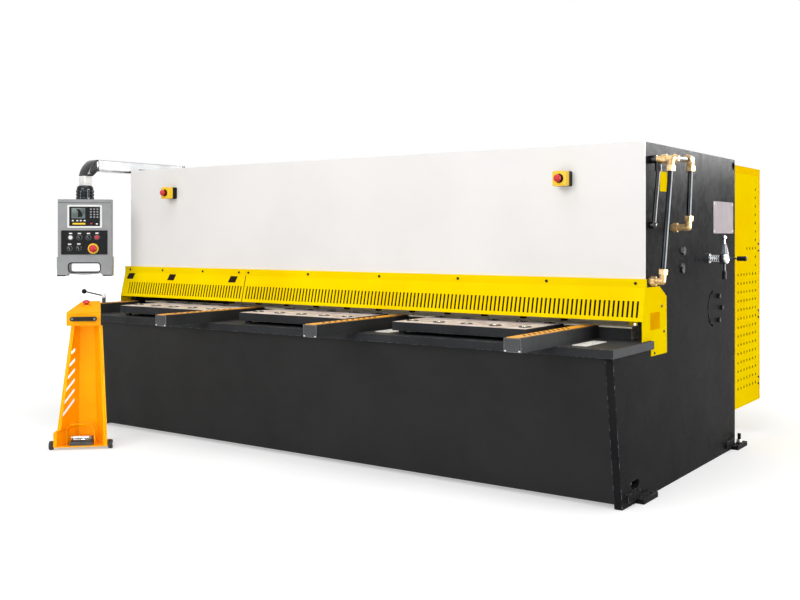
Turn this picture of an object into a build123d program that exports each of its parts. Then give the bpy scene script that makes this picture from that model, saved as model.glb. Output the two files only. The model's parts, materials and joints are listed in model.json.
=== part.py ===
from build123d import *
import os
from math import cos, radians, sin

# Hydraulic guillotine shear for sheet metal, 3.1 m class.
# Millimetres, +Z up, +X to the operator's right, -Y towards the operator.
# The origin lies on the floor at the centre of the four anchor bolts.

os.makedirs("parts", exist_ok=True)

# Side frames, with a slotted transport hole low at the front
frame_height = 1750
frame_plate = 40
frame_outer_x = 1903
frame_inner_x = frame_outer_x - frame_plate
bed_foot_y = -1000
bed_lean = 110
rear_y = 737
upper_front_y = -709
hole_length = 110
hole_height = 44
hole_set_back = 155
hole_z = 92

# Deck, table bar and blades
deck_plate = 40
deck_top_z = 765
deck_bottom_z = deck_top_z - deck_plate
deck_overhang = 19
deck_half_width = frame_outer_x + deck_overhang
deck_nose = 150
deck_front_y = bed_foot_y - deck_nose
deck_rear_y = -645
knee_y = bed_foot_y - bed_lean
table_z = 830
table_front_y = -660
table_bar_depth = 80
table_end_gap = 51
table_half_width = frame_inner_x - table_end_gap
blade_thickness = 20
lower_blade_height = 75
upper_blade_height = 90
blade_gap = 0.6
blade_rise = 60
blade_drop = 14
blade_half_width = 1560

# Bed front plate and bed beam
bed_plate = 20
bed_plate_recess = 6
bed_plate_lift = 22
bed_beam_depth = 65
bed_beam_bottom_z = 140

# Levelling feet, their bolts and welded pads
foot_reach = 44
foot_length = 182
foot_height = 26
foot_y = 750
anchor_hole = 22
anchor_inset = 22
anchor_shift = 50
levelling_bolt = 20
levelling_bolt_height = 60
washer_diameter = 38
washer_height = 8
pad_length = 150
pad_height = 40
pad_proud = 14
pad_shift = 135

# Front cover and finger guard
cover_sheet = 3
cover_bottom_z = 1040
cover_flange = 25
guard_sheet = 3
guard_proud = 11
guard_flare = 40
guard_front_y = upper_front_y - guard_proud
guard_bottom_y = guard_front_y - guard_flare
guard_top_z = 1074
guard_bend_z = 1032
guard_bottom_z = 866
guard_overhang = 50
guard_left_x = -frame_outer_x - guard_overhang
guard_split_x = -779
guard_seam = 2
guard_lip = 14
slot_width = 10.7
slot_pitch = 25
slot_bottom_z = 885
slot_top_z = 965
slot_end_margin = 14
guard_plain_end = 58

# Guard end plates
end_sheet = 3
end_front_depth = 20
end_chamfer_depth = 189
end_depth = 288
end_foot_depth = 295
end_bottom_z = 687
end_chamfer_z = 978
end_clearance = 2
spacer_diameter = 30

# Emergency stop boxes
stop_box = 78
stop_box_depth = 70
stop_left_inset = 447
stop_right_inset = 417
stop_below_top = 170
stop_left_x = stop_left_inset - frame_outer_x
stop_right_x = frame_outer_x - stop_right_inset
stop_z = frame_height - stop_below_top
mushroom_diameter = 40

# Ball-transfer trays
tray_length = 800
tray_depth = 415
tray_gap = 10
tray_rear_y = table_front_y - tray_gap
tray_front_y = tray_rear_y - tray_depth
tray_height = 46
tray_sheet = 4
tray_left_edges = (-1565, -484, 640)
tray_foot = 40
ball_inset = 105
ball_rear_inset = 30
ball_rows_y = (tray_front_y + ball_inset, tray_rear_y - ball_rear_inset)
ball_columns = 5
ball_pitch = 170
ball_diameter = 30
ball_cup = 44
ball_cup_height = 2
ball_dome = 6

# Front support arms
arm_width = 90
arm_wall = 6
arm_overhang = 340
arm_gap = 5
arm_front_y = deck_front_y - arm_overhang
arm_rear_y = table_front_y - arm_gap
arm_centres_x = (-714, 410, 1589)
fence_inset = 53
fence_x = fence_inset - frame_outer_x
fence_gap = 6
fence_rear_y = upper_front_y - fence_gap
fence_setback = 30
fence_front_y = deck_front_y + fence_setback
scale_width = 60
scale_thickness = 3

# Clamp lever on the squaring arm
lever_forward = 330
lever_y = table_front_y - lever_forward
lever_post = 22
lever_post_height = 33
lever_rod = 10
lever_reach = 160
lever_rise = 28
lever_turn = 16
lever_ball = 34
lever_hub = 28
lever_hub_height = 26

# Swing beam, hold-downs and cylinders between the side frames
beam_clear = 23
beam_plate_depth = 150
beam_bottom_z = 860
beam_below_top = 250
beam_top_z = frame_height - beam_below_top
beam_edge_radius = 20
journal_diameter = 120
journal_below_top = 510
journal_z = frame_height - journal_below_top
journal_gap = 0.3
hold_beam_depth = 90
hold_beam_gap = 3
hold_beam_front_y = upper_front_y + hold_beam_gap
hold_beam_bottom_z = 880
hold_beam_top_z = 1038
hold_down_count = 13
hold_down_pitch = 240
hold_down_diameter = 50
hold_down_foot = 36
hold_down_gap = 16
cylinder_diameter = 190
cylinder_inset = 163
cylinder_x = frame_inner_x - cylinder_inset
cylinder_y = -200
cylinder_bottom_z = 900
cylinder_below_top = 190
cylinder_top_z = frame_height - cylinder_below_top
cylinder_cap = 60
cylinder_bracket = 60

# Rear ties, oil tank, motor, chute and back gauge
tie_depth = 90
tie_height = 140
tie_below_top = 50
tie_top_z = frame_height - tie_below_top
tie_low_z = 90
shelf_beam = 80
shelf_below_top = 670
shelf_z = frame_height - shelf_below_top
shelf_front_y = 20
shelf_rear_y = 460
tank_half_width = 620
tank_height = 380
tank_corner = 15
motor_diameter = 190
motor_length = 380
motor_x = -260
motor_foot = 120
motor_lift = 20
pump_block = 130
chute_sheet = 5
chute_front_y = -530
chute_front_z = 730
chute_rear_y = 540
chute_rear_z = 260
gauge_bar_height = 90
gauge_bar_depth = 50
gauge_bar_y = -80
gauge_bar_half = 1560
gauge_bottom_z = 850
gauge_rail_x = 1150
gauge_rail_width = 80
gauge_rail_height = 60
gauge_rail_end_y = 600

# Rear guard
rear_guard_depth = 533
rear_guard_bottom_z = 228
rear_guard_below_top = 30
rear_guard_top_z = frame_height - rear_guard_below_top
rear_guard_sheet = 3
rear_guard_post = 40
rear_guard_bays = 3
rear_guard_seam = 2

# Hydraulic pipes on the right side frame, each with its distance from the plate
pipe_diameter = 25
fitting_diameter = 34
nut_across = 42
nut_length = 26
port_nut_gap = 10
run_below_top = 85
run_z = frame_height - run_below_top
run_rise = 14
top_offset = 109
tee_y = -651
run_end_y = -369
short_offset = 91
short_pipe_y = -359
short_share = 0.5565
long_offset = 67
long_pipe_y = -662
long_pipe_z = 1063
short_pipe_z = run_z - short_share * (run_z - long_pipe_z)
port_block = 40
port_block_length = 36
drain_offset = 42
drain_pipe = 22
drain_fitting = 34
drain_fitting_length = 42
drain_port_offset = 22
drain_port_y = -660
drain_share = 0.54
drain_port_z = run_z - drain_share * (run_z - long_pipe_z)

# Port plugs, curved slot and its bolts
plug_diameter = 44
plug_height = 10
plug_places = ((-179, 1206), (-195, 1110))
arc_centre = (329, 869)
arc_radius = 98
arc_width = 15
arc_half_angle = 85
arc_bolt = 24
arc_bolt_height = 14
arc_bolt_places = ((413, 938), (465, 868), (413, 798))

# Turn handle for the blade gap: all lengths are measured out from the side frame
handle_y = 233
handle_z = 1160
handle_boss = 54
handle_boss_height = 12
handle_shaft = 32
handle_groove_at = 42
handle_groove = 4
hub_start = 68
hub_end = 118
handle_hub = 62
knob_rod = 9
knob_start = 164
knob_end = 216
knob_diameter = 27
cone_foot = 50
cone_tip = 20
cone_start = 10
cone_end = 84
pull_diameter = 24
pull_end = 131
lower_arm = 14
lower_arm_end = 70
grip_diameter = 24
grip_end = 118
running_gap = 0.05

# Pendant arm, elbow and control pendant
pendant_inset = 60
pendant_x = -frame_outer_x - pendant_inset
pivot_y = -210
arm_reach = 848
swivel_y = pivot_y - arm_reach
pendant_arm_width = 92
pendant_arm_height = 70
arm_below_top = 8
pendant_arm_z = frame_height - arm_below_top
pivot_pin = 40
pivot_gap = 0.5
bracket_plate = 20
bracket_drop = 150
elbow_reach = 110
elbow_drop = 45
elbow_wall = 8
drop_tube = 60
pendant_below_arm = 205
coupling_diameter = 118
coupling_height = 96
coupling_neck = 87
coupling_neck_height = 24
pendant_top_z = pendant_arm_z - pendant_below_arm
drop_bottom_z = pendant_top_z + coupling_height
pendant_height = 522
pendant_bottom_z = pendant_top_z - pendant_height
pendant_width = 348
pendant_foot_width = 360
pendant_depth = 110
pendant_turn = 44
pendant_shift = 4
ledge_below_top = 391
ledge_z = pendant_top_z - ledge_below_top
grip_opening_width = 205
grip_opening_height = 59
grip_opening_radius = 18
grip_bar = 15
grip_bow = 8
grip_opening_bottom_z = pendant_bottom_z + 2 * grip_bar - 1
lug_width = 60
lug_slope = 12
display_width = 230
display_height = 158
display_below_top = 37
display_z = pendant_top_z - display_below_top - display_height
plate_width = 304
plate_height = 164
plate_below_top = 211
plate_z = pendant_top_z - plate_below_top - plate_height
display_corner = 6
panel_sheet = 3
panel_button_across = 58
panel_button_below_top = 335
stop_button_base = 50

# Pedal stand
stand_x = -1291
stand_y = -1608
stand_turn = 44
stand_width = 312
stand_depth = 200
stand_lift = 18
stand_plate = 6
stand_foot = 36
stand_foot_inset = 25
stand_sheet = 3
stand_shoulder_z = 108
stand_knee_z = 124
stand_top_z = 748
stand_flange = 21
column_foot_depth = 170
column_knee_depth = 160
knee_left_inset = 23
wall_foot = 116
wall_foot_centre = 20
top_left = -53
top_right = 129
top_depth = 95
wall_top = 90
wall_top_centre = 26
vent_count = 6
vent_width = 17
vent_inner = -40
vent_inner_step = 2.2
vent_inner_top_z = 608
vent_inner_pitch = 62
vent_outer = -58
vent_outer_step = 9.8
vent_outer_top_z = 587
vent_outer_pitch = 74.6
head_front_width = 199
head_front_centre = 21
head_back_width = 108
head_back_centre = 39
head_depth = 190
head_front_z = 830
head_back_z = 885
head_overhang = 12
head_button_back = 110
head_boss = 60
head_boss_height = 8
head_button = 42
bar_length = 156
bar_height = 26
bar_standoff = 22
bar_thickness = 14
bar_post = 18
bar_shift = 3
bar_z = 791
hood_width = 164
hood_height = 129
hood_chamfer = 26
hood_depth = 40
hood_set_back = 20
wheel_diameter = 54
wheel_width = 20
wheel_gap = 6
wheel_set_back = 30
axle_diameter = 12
axle_root = 8
axle_end = 4
pedal_width = 104
pedal_length = 96
pedal_plate = 8
pedal_slope = 10
pedal_pin = 10
pedal_pin_back = 91
pedal_block_height = 20
pedal_block_depth = 80
pedal_block_back = 100
pedal_cheek = 8
pedal_cheek_depth = 18
pedal_cheek_gap = 2
pedal_hub_wall = 6
pedal_clear = 2


def save(builder, name):
    """Label a finished piece and write it to its own file."""
    builder.part.label = name
    export_step(builder.part, f"parts/{name}.step")


def block(x0, x1, y0, y1, z0, z1, mode=Mode.ADD):
    """A rectangular bar or plate between two corners."""
    with BuildSketch(Plane.XY.offset(z0)) as base:
        with Locations(((x0 + x1) / 2, (y0 + y1) / 2)):
            Rectangle(x1 - x0, y1 - y0)
    extrude(base.sketch, amount=z1 - z0, mode=mode)


def rod(start, end, diameter, mode=Mode.ADD):
    """A round bar from one point to another."""
    way = Vector(*end) - Vector(*start)
    with BuildSketch(Plane(origin=start, z_dir=way)) as base:
        Circle(diameter / 2)
    extrude(base.sketch, amount=way.length, mode=mode)


def hexagon(start, way, across, length):
    """A hexagonal nut or bolt head, measured across its flats."""
    with BuildSketch(Plane(origin=start, z_dir=way)) as base:
        RegularPolygon(across / 2, 6, major_radius=False)
    extrude(base.sketch, amount=length)


# Side frames: one profile, with a step at the front that takes the deck plate
frame_profile = [
    (bed_foot_y, 0),
    (knee_y, deck_bottom_z),
    (deck_rear_y, deck_bottom_z),
    (deck_rear_y, deck_top_z),
    (upper_front_y, deck_top_z),
    (upper_front_y, frame_height),
    (rear_y, frame_height),
    (rear_y, 0),
]

with BuildPart() as frame_left:
    with BuildSketch(Plane.YZ.offset(-frame_outer_x)):
        with BuildLine():
            Polyline(*frame_profile, close=True)
        make_face()
        with Locations((bed_foot_y + hole_set_back, hole_z)):
            SlotOverall(hole_length, hole_height, mode=Mode.SUBTRACT)
    extrude(amount=frame_plate)
save(frame_left, "side_frame_left")

with BuildPart() as frame_right:
    with BuildSketch(Plane.YZ.offset(frame_inner_x)):
        with BuildLine():
            Polyline(*frame_profile, close=True)
        make_face()
        with Locations((bed_foot_y + hole_set_back, hole_z)):
            SlotOverall(hole_length, hole_height, mode=Mode.SUBTRACT)
        with BuildLine():
            outer_arc = CenterArc(
                arc_centre, arc_radius + arc_width / 2, 180 - arc_half_angle, 2 * arc_half_angle,
            )
            inner_arc = CenterArc(
                arc_centre, arc_radius - arc_width / 2, 180 - arc_half_angle, 2 * arc_half_angle,
            )
            Line(outer_arc @ 0, inner_arc @ 0)
            Line(outer_arc @ 1, inner_arc @ 1)
        make_face(mode=Mode.SUBTRACT)
    extrude(amount=frame_plate)
save(frame_right, "side_frame_right")

# Levelling feet: plates outside the frames, drilled for the anchors, with a pad in front
with BuildPart() as feet:
    for side in (-1, 1):
        x = side * (frame_outer_x + anchor_inset)
        for end in (-1, 1):
            y = end * foot_y
            wall = side * frame_outer_x
            edge = side * (frame_outer_x + foot_reach)
            pad_edge = side * (frame_outer_x + pad_proud)
            pad_y = y - pad_shift
            block(min(wall, edge), max(wall, edge), y - foot_length / 2, y + foot_length / 2, 0, foot_height)
            block(
                min(wall, pad_edge), max(wall, pad_edge), pad_y - pad_length / 2,
                pad_y + pad_length / 2, foot_height, foot_height + pad_height,
            )
            with BuildSketch(Plane.XY):
                with Locations((x, y - end * anchor_shift)):
                    Circle(anchor_hole / 2)
            extrude(amount=foot_height, mode=Mode.SUBTRACT)
        rod((x, foot_y, foot_height), (x, foot_y, foot_height + washer_height), washer_diameter)
        rod((x, foot_y, foot_height), (x, foot_y, foot_height + levelling_bolt_height), levelling_bolt)
save(feet, "levelling_feet")

# Bed: leaning front plate, deck plate and the deep beam under the table bar
front_slope = bed_lean / deck_bottom_z


def bed_front_y(z):
    """Front edge of the side frames at a height below the deck."""
    return bed_foot_y - front_slope * z + bed_plate_recess


with BuildPart() as bed_front:
    with BuildSketch(Plane.YZ.offset(-frame_inner_x)):
        with BuildLine():
            Polyline(
                (bed_front_y(bed_plate_lift), bed_plate_lift),
                (bed_front_y(deck_bottom_z), deck_bottom_z),
                (bed_front_y(deck_bottom_z) + bed_plate, deck_bottom_z),
                (bed_front_y(bed_plate_lift) + bed_plate, bed_plate_lift),
                close=True,
            )
        make_face()
    extrude(amount=2 * frame_inner_x)
save(bed_front, "bed_front_plate")

with BuildPart() as deck:
    block(-deck_half_width, deck_half_width, deck_front_y, deck_rear_y, deck_bottom_z, deck_top_z)
save(deck, "deck_plate")

bed_beam_rear_y = deck_rear_y + bed_beam_depth
with BuildPart() as bed_beam:
    block(-frame_inner_x, frame_inner_x, deck_rear_y, bed_beam_rear_y, bed_beam_bottom_z, deck_top_z)
save(bed_beam, "bed_beam")

table_rear_y = table_front_y + table_bar_depth
with BuildPart() as table_bar:
    block(-table_half_width, table_half_width, table_front_y, table_rear_y, deck_top_z, table_z)
save(table_bar, "table_bar")

lower_blade_rear_y = max(table_rear_y, bed_beam_rear_y) + blade_thickness
with BuildPart() as lower_blade:
    block(
        -blade_half_width, blade_half_width, lower_blade_rear_y - blade_thickness, lower_blade_rear_y,
        table_z - lower_blade_height, table_z,
    )
save(lower_blade, "lower_blade")

# Swing beam with the raked upper blade, carried on journals near the side frames
upper_blade_y = lower_blade_rear_y + blade_gap
beam_front_y = upper_blade_y + blade_thickness
beam_rear_y = beam_front_y + beam_plate_depth
beam_half_width = frame_inner_x - beam_clear
with BuildPart() as swing_beam:
    block(-beam_half_width, beam_half_width, beam_front_y, beam_rear_y, beam_bottom_z, beam_top_z)
    fillet(swing_beam.edges().filter_by(Axis.X).group_by(Axis.Z)[-1], beam_edge_radius)
    for side in (-1, 1):
        rod(
            (side * beam_half_width, (beam_front_y + beam_rear_y) / 2, journal_z),
            (side * (frame_inner_x - journal_gap), (beam_front_y + beam_rear_y) / 2, journal_z),
            journal_diameter,
        )
save(swing_beam, "swing_beam")

blade_low_z = beam_bottom_z - blade_drop
with BuildPart() as upper_blade:
    with BuildSketch(Plane.XZ.offset(-upper_blade_y)):
        with BuildLine():
            Polyline(
                (-blade_half_width, blade_low_z),
                (blade_half_width, blade_low_z + blade_rise),
                (blade_half_width, blade_low_z + blade_rise + upper_blade_height),
                (-blade_half_width, blade_low_z + upper_blade_height),
                close=True,
            )
        make_face()
    extrude(amount=-blade_thickness)
save(upper_blade, "upper_blade")

# Hold-down beam and its row of hold-downs, behind the finger guard
hold_beam_rear_y = hold_beam_front_y + hold_beam_depth
hold_down_y = (hold_beam_front_y + hold_beam_rear_y) / 2
with BuildPart() as hold_beam:
    block(
        -frame_inner_x, frame_inner_x, hold_beam_front_y, hold_beam_rear_y,
        hold_beam_bottom_z, hold_beam_top_z,
    )
    with BuildSketch(Plane.XY.offset(hold_beam_bottom_z)):
        with Locations((0, hold_down_y)):
            with GridLocations(hold_down_pitch, 1, hold_down_count, 1):
                Circle(hold_down_diameter / 2)
    extrude(amount=-(hold_beam_bottom_z - table_z - 2 * hold_down_gap))
    with BuildSketch(Plane.XY.offset(table_z + hold_down_gap)):
        with Locations((0, hold_down_y)):
            with GridLocations(hold_down_pitch, 1, hold_down_count, 1):
                Circle(hold_down_foot / 2)
    extrude(amount=hold_down_gap)
save(hold_beam, "hold_down_beam")

# Main cylinders on brackets inside the side frames
with BuildPart() as cylinders:
    for side in (-1, 1):
        inner = side * (cylinder_x - cylinder_diameter / 2)
        wall = side * frame_inner_x
        block(
            min(inner, wall), max(inner, wall), cylinder_y - cylinder_diameter / 2,
            cylinder_y + cylinder_diameter / 2, cylinder_top_z - cylinder_bracket, cylinder_top_z,
        )
        rod(
            (side * cylinder_x, cylinder_y, cylinder_bottom_z),
            (side * cylinder_x, cylinder_y, cylinder_top_z + cylinder_cap), cylinder_diameter,
        )
save(cylinders, "main_cylinders")

# Cross ties between the side frames
with BuildPart() as ties:
    for z in (tie_low_z, tie_top_z - tie_height):
        block(-frame_inner_x, frame_inner_x, rear_y - tie_depth, rear_y, z, z + tie_height)
    for y in (shelf_front_y, shelf_rear_y - shelf_beam):
        block(-frame_inner_x, frame_inner_x, y, y + shelf_beam, shelf_z - shelf_beam, shelf_z)
save(ties, "cross_ties")

with BuildPart() as tank:
    block(-tank_half_width, tank_half_width, shelf_front_y, shelf_rear_y, shelf_z, shelf_z + tank_height)
    fillet(tank.edges().filter_by(Axis.Z), tank_corner)
save(tank, "oil_tank")

tank_top_z = shelf_z + tank_height
motor_y = (shelf_front_y + shelf_rear_y) / 2
motor_axis_z = tank_top_z + motor_lift + motor_diameter / 2
motor_end_x = motor_x + motor_length
with BuildPart() as motor:
    block(
        motor_x + motor_foot / 2, motor_end_x - motor_foot / 2, motor_y - motor_foot / 2,
        motor_y + motor_foot / 2, tank_top_z, tank_top_z + 2 * motor_lift,
    )
    rod((motor_x, motor_y, motor_axis_z), (motor_end_x, motor_y, motor_axis_z), motor_diameter)
    block(
        motor_end_x, motor_end_x + pump_block, motor_y - pump_block / 2,
        motor_y + pump_block / 2, tank_top_z, motor_axis_z + pump_block / 2,
    )
save(motor, "motor_and_pump")

# Sloping chute that lets the cut pieces slide out at the back
with BuildPart() as chute:
    with BuildSketch(Plane.YZ.offset(-frame_inner_x)):
        with BuildLine():
            Polyline(
                (chute_front_y, chute_front_z),
                (chute_rear_y, chute_rear_z),
                (chute_rear_y, chute_rear_z - chute_sheet),
                (chute_front_y, chute_front_z - chute_sheet),
                close=True,
            )
        make_face()
    extrude(amount=2 * frame_inner_x)
save(chute, "rear_chute")

# Back gauge: bar and two rails behind the swing beam
with BuildPart() as gauge:
    block(
        -gauge_bar_half, gauge_bar_half, gauge_bar_y, gauge_bar_y + gauge_bar_depth,
        gauge_bottom_z, gauge_bottom_z + gauge_bar_height,
    )
    rail_bottom_z = gauge_bottom_z + gauge_bar_height
    for side in (-1, 1):
        x = side * gauge_rail_x
        block(
            x - gauge_rail_width / 2, x + gauge_rail_width / 2, beam_rear_y, gauge_rail_end_y,
            rail_bottom_z, rail_bottom_z + gauge_rail_height,
        )
save(gauge, "back_gauge")

# Front cover: a sheet with a folded top edge between the side frames
cover_front_y = upper_front_y - cover_sheet
with BuildPart() as cover:
    block(-frame_outer_x, frame_outer_x, cover_front_y, upper_front_y, cover_bottom_z, frame_height)
    block(
        -frame_inner_x, frame_inner_x, upper_front_y, upper_front_y + cover_flange,
        frame_height - cover_sheet, frame_height,
    )
save(cover, "front_cover")


# Finger guard: folded sheet with a row of slots, in two sections
def guard_section(x0, x1, slot_x0, slot_x1):
    """One length of the folded guard, slotted between two places."""
    with BuildPart() as section:
        with BuildSketch(Plane.YZ.offset(x0)) as outline:
            with BuildLine():
                Polyline(
                    (cover_front_y, guard_top_z),
                    (guard_front_y, guard_top_z),
                    (guard_front_y, guard_bend_z),
                    (guard_bottom_y, guard_bottom_z),
                    (guard_bottom_y + guard_lip, guard_bottom_z),
                    (guard_bottom_y + guard_lip, guard_bottom_z + guard_sheet),
                    (guard_bottom_y + guard_sheet, guard_bottom_z + guard_sheet),
                    (guard_front_y + guard_sheet, guard_bend_z),
                    (guard_front_y + guard_sheet, guard_top_z - guard_sheet),
                    (cover_front_y, guard_top_z - guard_sheet),
                    close=True,
                )
            make_face()
        extrude(outline.sketch, amount=x1 - x0)
        count = int((slot_x1 - slot_x0) / slot_pitch)
        with BuildSketch(Plane.XZ.offset(-guard_front_y)) as slots:
            with Locations(((slot_x0 + slot_x1) / 2, (slot_bottom_z + slot_top_z) / 2)):
                with GridLocations(slot_pitch, 1, count, 1):
                    Rectangle(slot_width, slot_top_z - slot_bottom_z)
        extrude(slots.sketch, amount=guard_front_y - guard_bottom_y + guard_sheet, mode=Mode.SUBTRACT)
    return section


guard_left = guard_section(
    guard_left_x, guard_split_x - guard_seam / 2,
    guard_left_x + guard_plain_end, guard_split_x - slot_end_margin,
)
save(guard_left, "finger_guard_left")
guard_right = guard_section(
    guard_split_x + guard_seam / 2, frame_outer_x,
    guard_split_x + slot_end_margin, frame_outer_x - slot_end_margin,
)
save(guard_right, "finger_guard_right")

# Guard end plates, notched round the deck plate
end_rear_y = guard_front_y + end_depth
end_foot_y = guard_front_y + end_foot_depth
end_profile = [
    (guard_front_y, guard_top_z),
    (guard_front_y + end_front_depth, guard_top_z),
    (guard_front_y + end_front_depth, guard_bend_z),
    (guard_front_y + end_chamfer_depth, guard_bend_z),
    (end_rear_y, end_chamfer_z),
    (end_foot_y, end_bottom_z),
    (deck_rear_y + end_clearance, end_bottom_z),
    (deck_rear_y + end_clearance, deck_top_z + end_clearance),
    (guard_bottom_y, deck_top_z + end_clearance),
    (guard_bottom_y, guard_bottom_z),
    (guard_front_y, guard_bend_z),
]
spacer_places = [
    (guard_front_y + end_front_depth + 5 * spacer_diameter, guard_bend_z - spacer_diameter),
    (end_rear_y - 2 * spacer_diameter, guard_bottom_z + spacer_diameter),
    (end_rear_y - 2 * spacer_diameter, end_bottom_z + 2 * spacer_diameter),
]

with BuildPart() as end_plates:
    with BuildSketch(Plane.YZ.offset(frame_outer_x)):
        with BuildLine():
            Polyline(*end_profile, close=True)
        make_face()
    extrude(amount=end_sheet)
    with BuildSketch(Plane.YZ.offset(guard_left_x)):
        with BuildLine():
            Polyline(*end_profile, close=True)
        make_face()
    extrude(amount=-end_sheet)
    with BuildSketch(Plane.YZ.offset(guard_left_x)):
        with Locations(*spacer_places):
            Circle(spacer_diameter / 2)
    extrude(amount=-frame_outer_x - guard_left_x)
save(end_plates, "guard_end_plates")

# Emergency stop boxes on the cover
with BuildPart() as stop_boxes:
    for x in (stop_left_x, stop_right_x):
        block(
            x - stop_box / 2, x + stop_box / 2, cover_front_y - stop_box_depth, cover_front_y,
            stop_z - stop_box / 2, stop_z + stop_box / 2,
        )
    fillet(stop_boxes.edges().filter_by(Axis.Y), 6)
save(stop_boxes, "stop_boxes")


def mushroom(plane, diameter):
    """A push button: a short stem under a rounded cap, standing on a plane."""
    with BuildSketch(plane) as stem:
        Circle(diameter * 0.3)
    extrude(stem.sketch, amount=diameter * 0.35)
    with BuildSketch(plane.offset(diameter * 0.35)) as cap:
        Circle(diameter / 2)
    extrude(cap.sketch, amount=diameter * 0.28, taper=14)


with BuildPart() as stop_buttons:
    for x in (stop_left_x, stop_right_x):
        mushroom(
            Plane(origin=(x, cover_front_y - stop_box_depth, stop_z), z_dir=(0, -1, 0)),
            mushroom_diameter,
        )
save(stop_buttons, "stop_buttons")

# Ball-transfer trays: folded sheet boxes open below, on four feet
tray_bottom_z = table_z - tray_height
with BuildPart() as trays:
    for x0 in tray_left_edges:
        x1 = x0 + tray_length
        block(x0, x1, tray_front_y, tray_rear_y, tray_bottom_z, table_z)
        block(
            x0 + tray_sheet, x1 - tray_sheet, tray_front_y + tray_sheet, tray_rear_y - tray_sheet,
            tray_bottom_z, table_z - tray_sheet, mode=Mode.SUBTRACT,
        )
        for x in (x0 + tray_foot, x1 - tray_foot):
            for y in (tray_front_y + tray_foot, tray_rear_y - tray_foot):
                rod((x, y, deck_top_z), (x, y, table_z - tray_sheet / 2), tray_foot)
save(trays, "ball_trays")

with BuildPart() as ball_units:
    for x0 in tray_left_edges:
        for y in ball_rows_y:
            for column in range(ball_columns):
                x = x0 + tray_length / 2 + (column - (ball_columns - 1) / 2) * ball_pitch
                rod((x, y, table_z), (x, y, table_z + ball_cup_height), ball_cup)
                with BuildSketch(Plane.XY.offset(table_z + ball_cup_height)) as dome:
                    with Locations((x, y)):
                        Circle(ball_diameter / 2)
                extrude(dome.sketch, amount=ball_dome, taper=45)
save(ball_units, "ball_units")

# Front support arms: closed box sections that overhang the deck, with scale strips
arm_top_z = table_z
support_arms = [(x, arm_front_y, arm_rear_y) for x in arm_centres_x]
squaring_arm = [(fence_x, fence_front_y, fence_rear_y)]
for name, arms in (("support_arms", support_arms), ("squaring_arm", squaring_arm)):
    with BuildPart() as arm:
        for x, front, rear in arms:
            block(x - arm_width / 2, x + arm_width / 2, front, rear, deck_top_z, arm_top_z)
            block(
                x - arm_width / 2 + arm_wall, x + arm_width / 2 - arm_wall, front + arm_wall,
                rear - arm_wall, deck_top_z + arm_wall, arm_top_z - arm_wall, mode=Mode.SUBTRACT,
            )
    save(arm, name)

with BuildPart() as scales:
    for x, front, rear in support_arms + squaring_arm:
        block(
            x - scale_width / 2, x + scale_width / 2, front, rear,
            arm_top_z, arm_top_z + scale_thickness,
        )
save(scales, "scale_strips")

# Clamp lever on the squaring arm: a nut, a bent rod and a bored ball on its end
post_base = (fence_x, lever_y, arm_top_z + scale_thickness)
post_top_z = post_base[2] + lever_post_height
lever_root = Vector(fence_x, lever_y, post_top_z + lever_hub_height / 2)
swing = radians(lever_turn)
knob_centre = lever_root + Vector(-lever_reach * cos(swing), -lever_reach * sin(swing), lever_rise)
lever_way = (knob_centre - lever_root).normalized()
lever_seat = 0.3
with BuildPart() as lever_base:
    hexagon(post_base, (0, 0, 1), lever_post, lever_post_height)
save(lever_base, "clamp_nut")

with BuildPart() as lever:
    rod(
        (fence_x, lever_y, post_top_z + lever_seat),
        (fence_x, lever_y, post_top_z + lever_hub_height), lever_hub,
    )
    rod(tuple(lever_root), tuple(knob_centre), lever_rod)
save(lever, "clamp_lever")

ball_radius = lever_ball / 2
bore_radius = lever_rod / 2 + running_gap
bore_mouth = (ball_radius ** 2 - bore_radius ** 2) ** 0.5
with BuildPart() as lever_knob:
    with BuildSketch(Plane(origin=knob_centre, x_dir=lever_way, z_dir=(-sin(swing), cos(swing), 0))):
        with BuildLine():
            ThreePointArc((-bore_mouth, bore_radius), (0, ball_radius), (ball_radius, 0))
            Polyline((ball_radius, 0), (0, 0), (0, bore_radius), (-bore_mouth, bore_radius))
        make_face()
    revolve(axis=Axis(knob_centre, lever_way))
save(lever_knob, "clamp_knob")

# Hydraulic pipes on the right side frame, between a brass tee, elbows and ports
corners = {
    "tee": (frame_outer_x + top_offset, tee_y, run_z),
    "end": (frame_outer_x + top_offset, run_end_y, run_z + run_rise),
    "short": (frame_outer_x + short_offset, short_pipe_y, short_pipe_z),
    "long": (frame_outer_x + long_offset, long_pipe_y, long_pipe_z),
}
runs = [("tee", "end"), ("end", "short"), ("tee", "long")]
with BuildPart() as fittings:
    for a, b in runs:
        first = Vector(*corners[a])
        last = Vector(*corners[b])
        way = (last - first).normalized()
        for point, direction in ((first, way), (last, way * -1)):
            rod(tuple(point), tuple(point + direction * fitting_diameter), fitting_diameter)
            hexagon(tuple(point + direction * fitting_diameter), direction, nut_across, nut_length)
    for name in corners:
        with Locations(corners[name]):
            Sphere(fitting_diameter / 2)
    for name, start in (("tee", port_block_length), ("short", 0), ("long", 0)):
        x, y, z = corners[name]
        rod((frame_outer_x + start, y, z), (x, y, z), fitting_diameter)
    for name in ("short", "long"):
        x, y, z = corners[name]
        hexagon((frame_outer_x + port_nut_gap, y, z), (1, 0, 0), nut_across, nut_length)
    hexagon(
        (frame_outer_x + drain_offset + drain_fitting / 2 + 1, tee_y, run_z), (1, 0, 0), nut_across, nut_length,
    )
save(fittings, "pipe_fittings")

with BuildPart() as pipes:
    for a, b in runs:
        first = Vector(*corners[a])
        last = Vector(*corners[b])
        way = (last - first).normalized()
        gap = fitting_diameter + nut_length
        rod(tuple(first + way * gap), tuple(last - way * gap), pipe_diameter)
save(pipes, "hydraulic_pipes")

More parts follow.
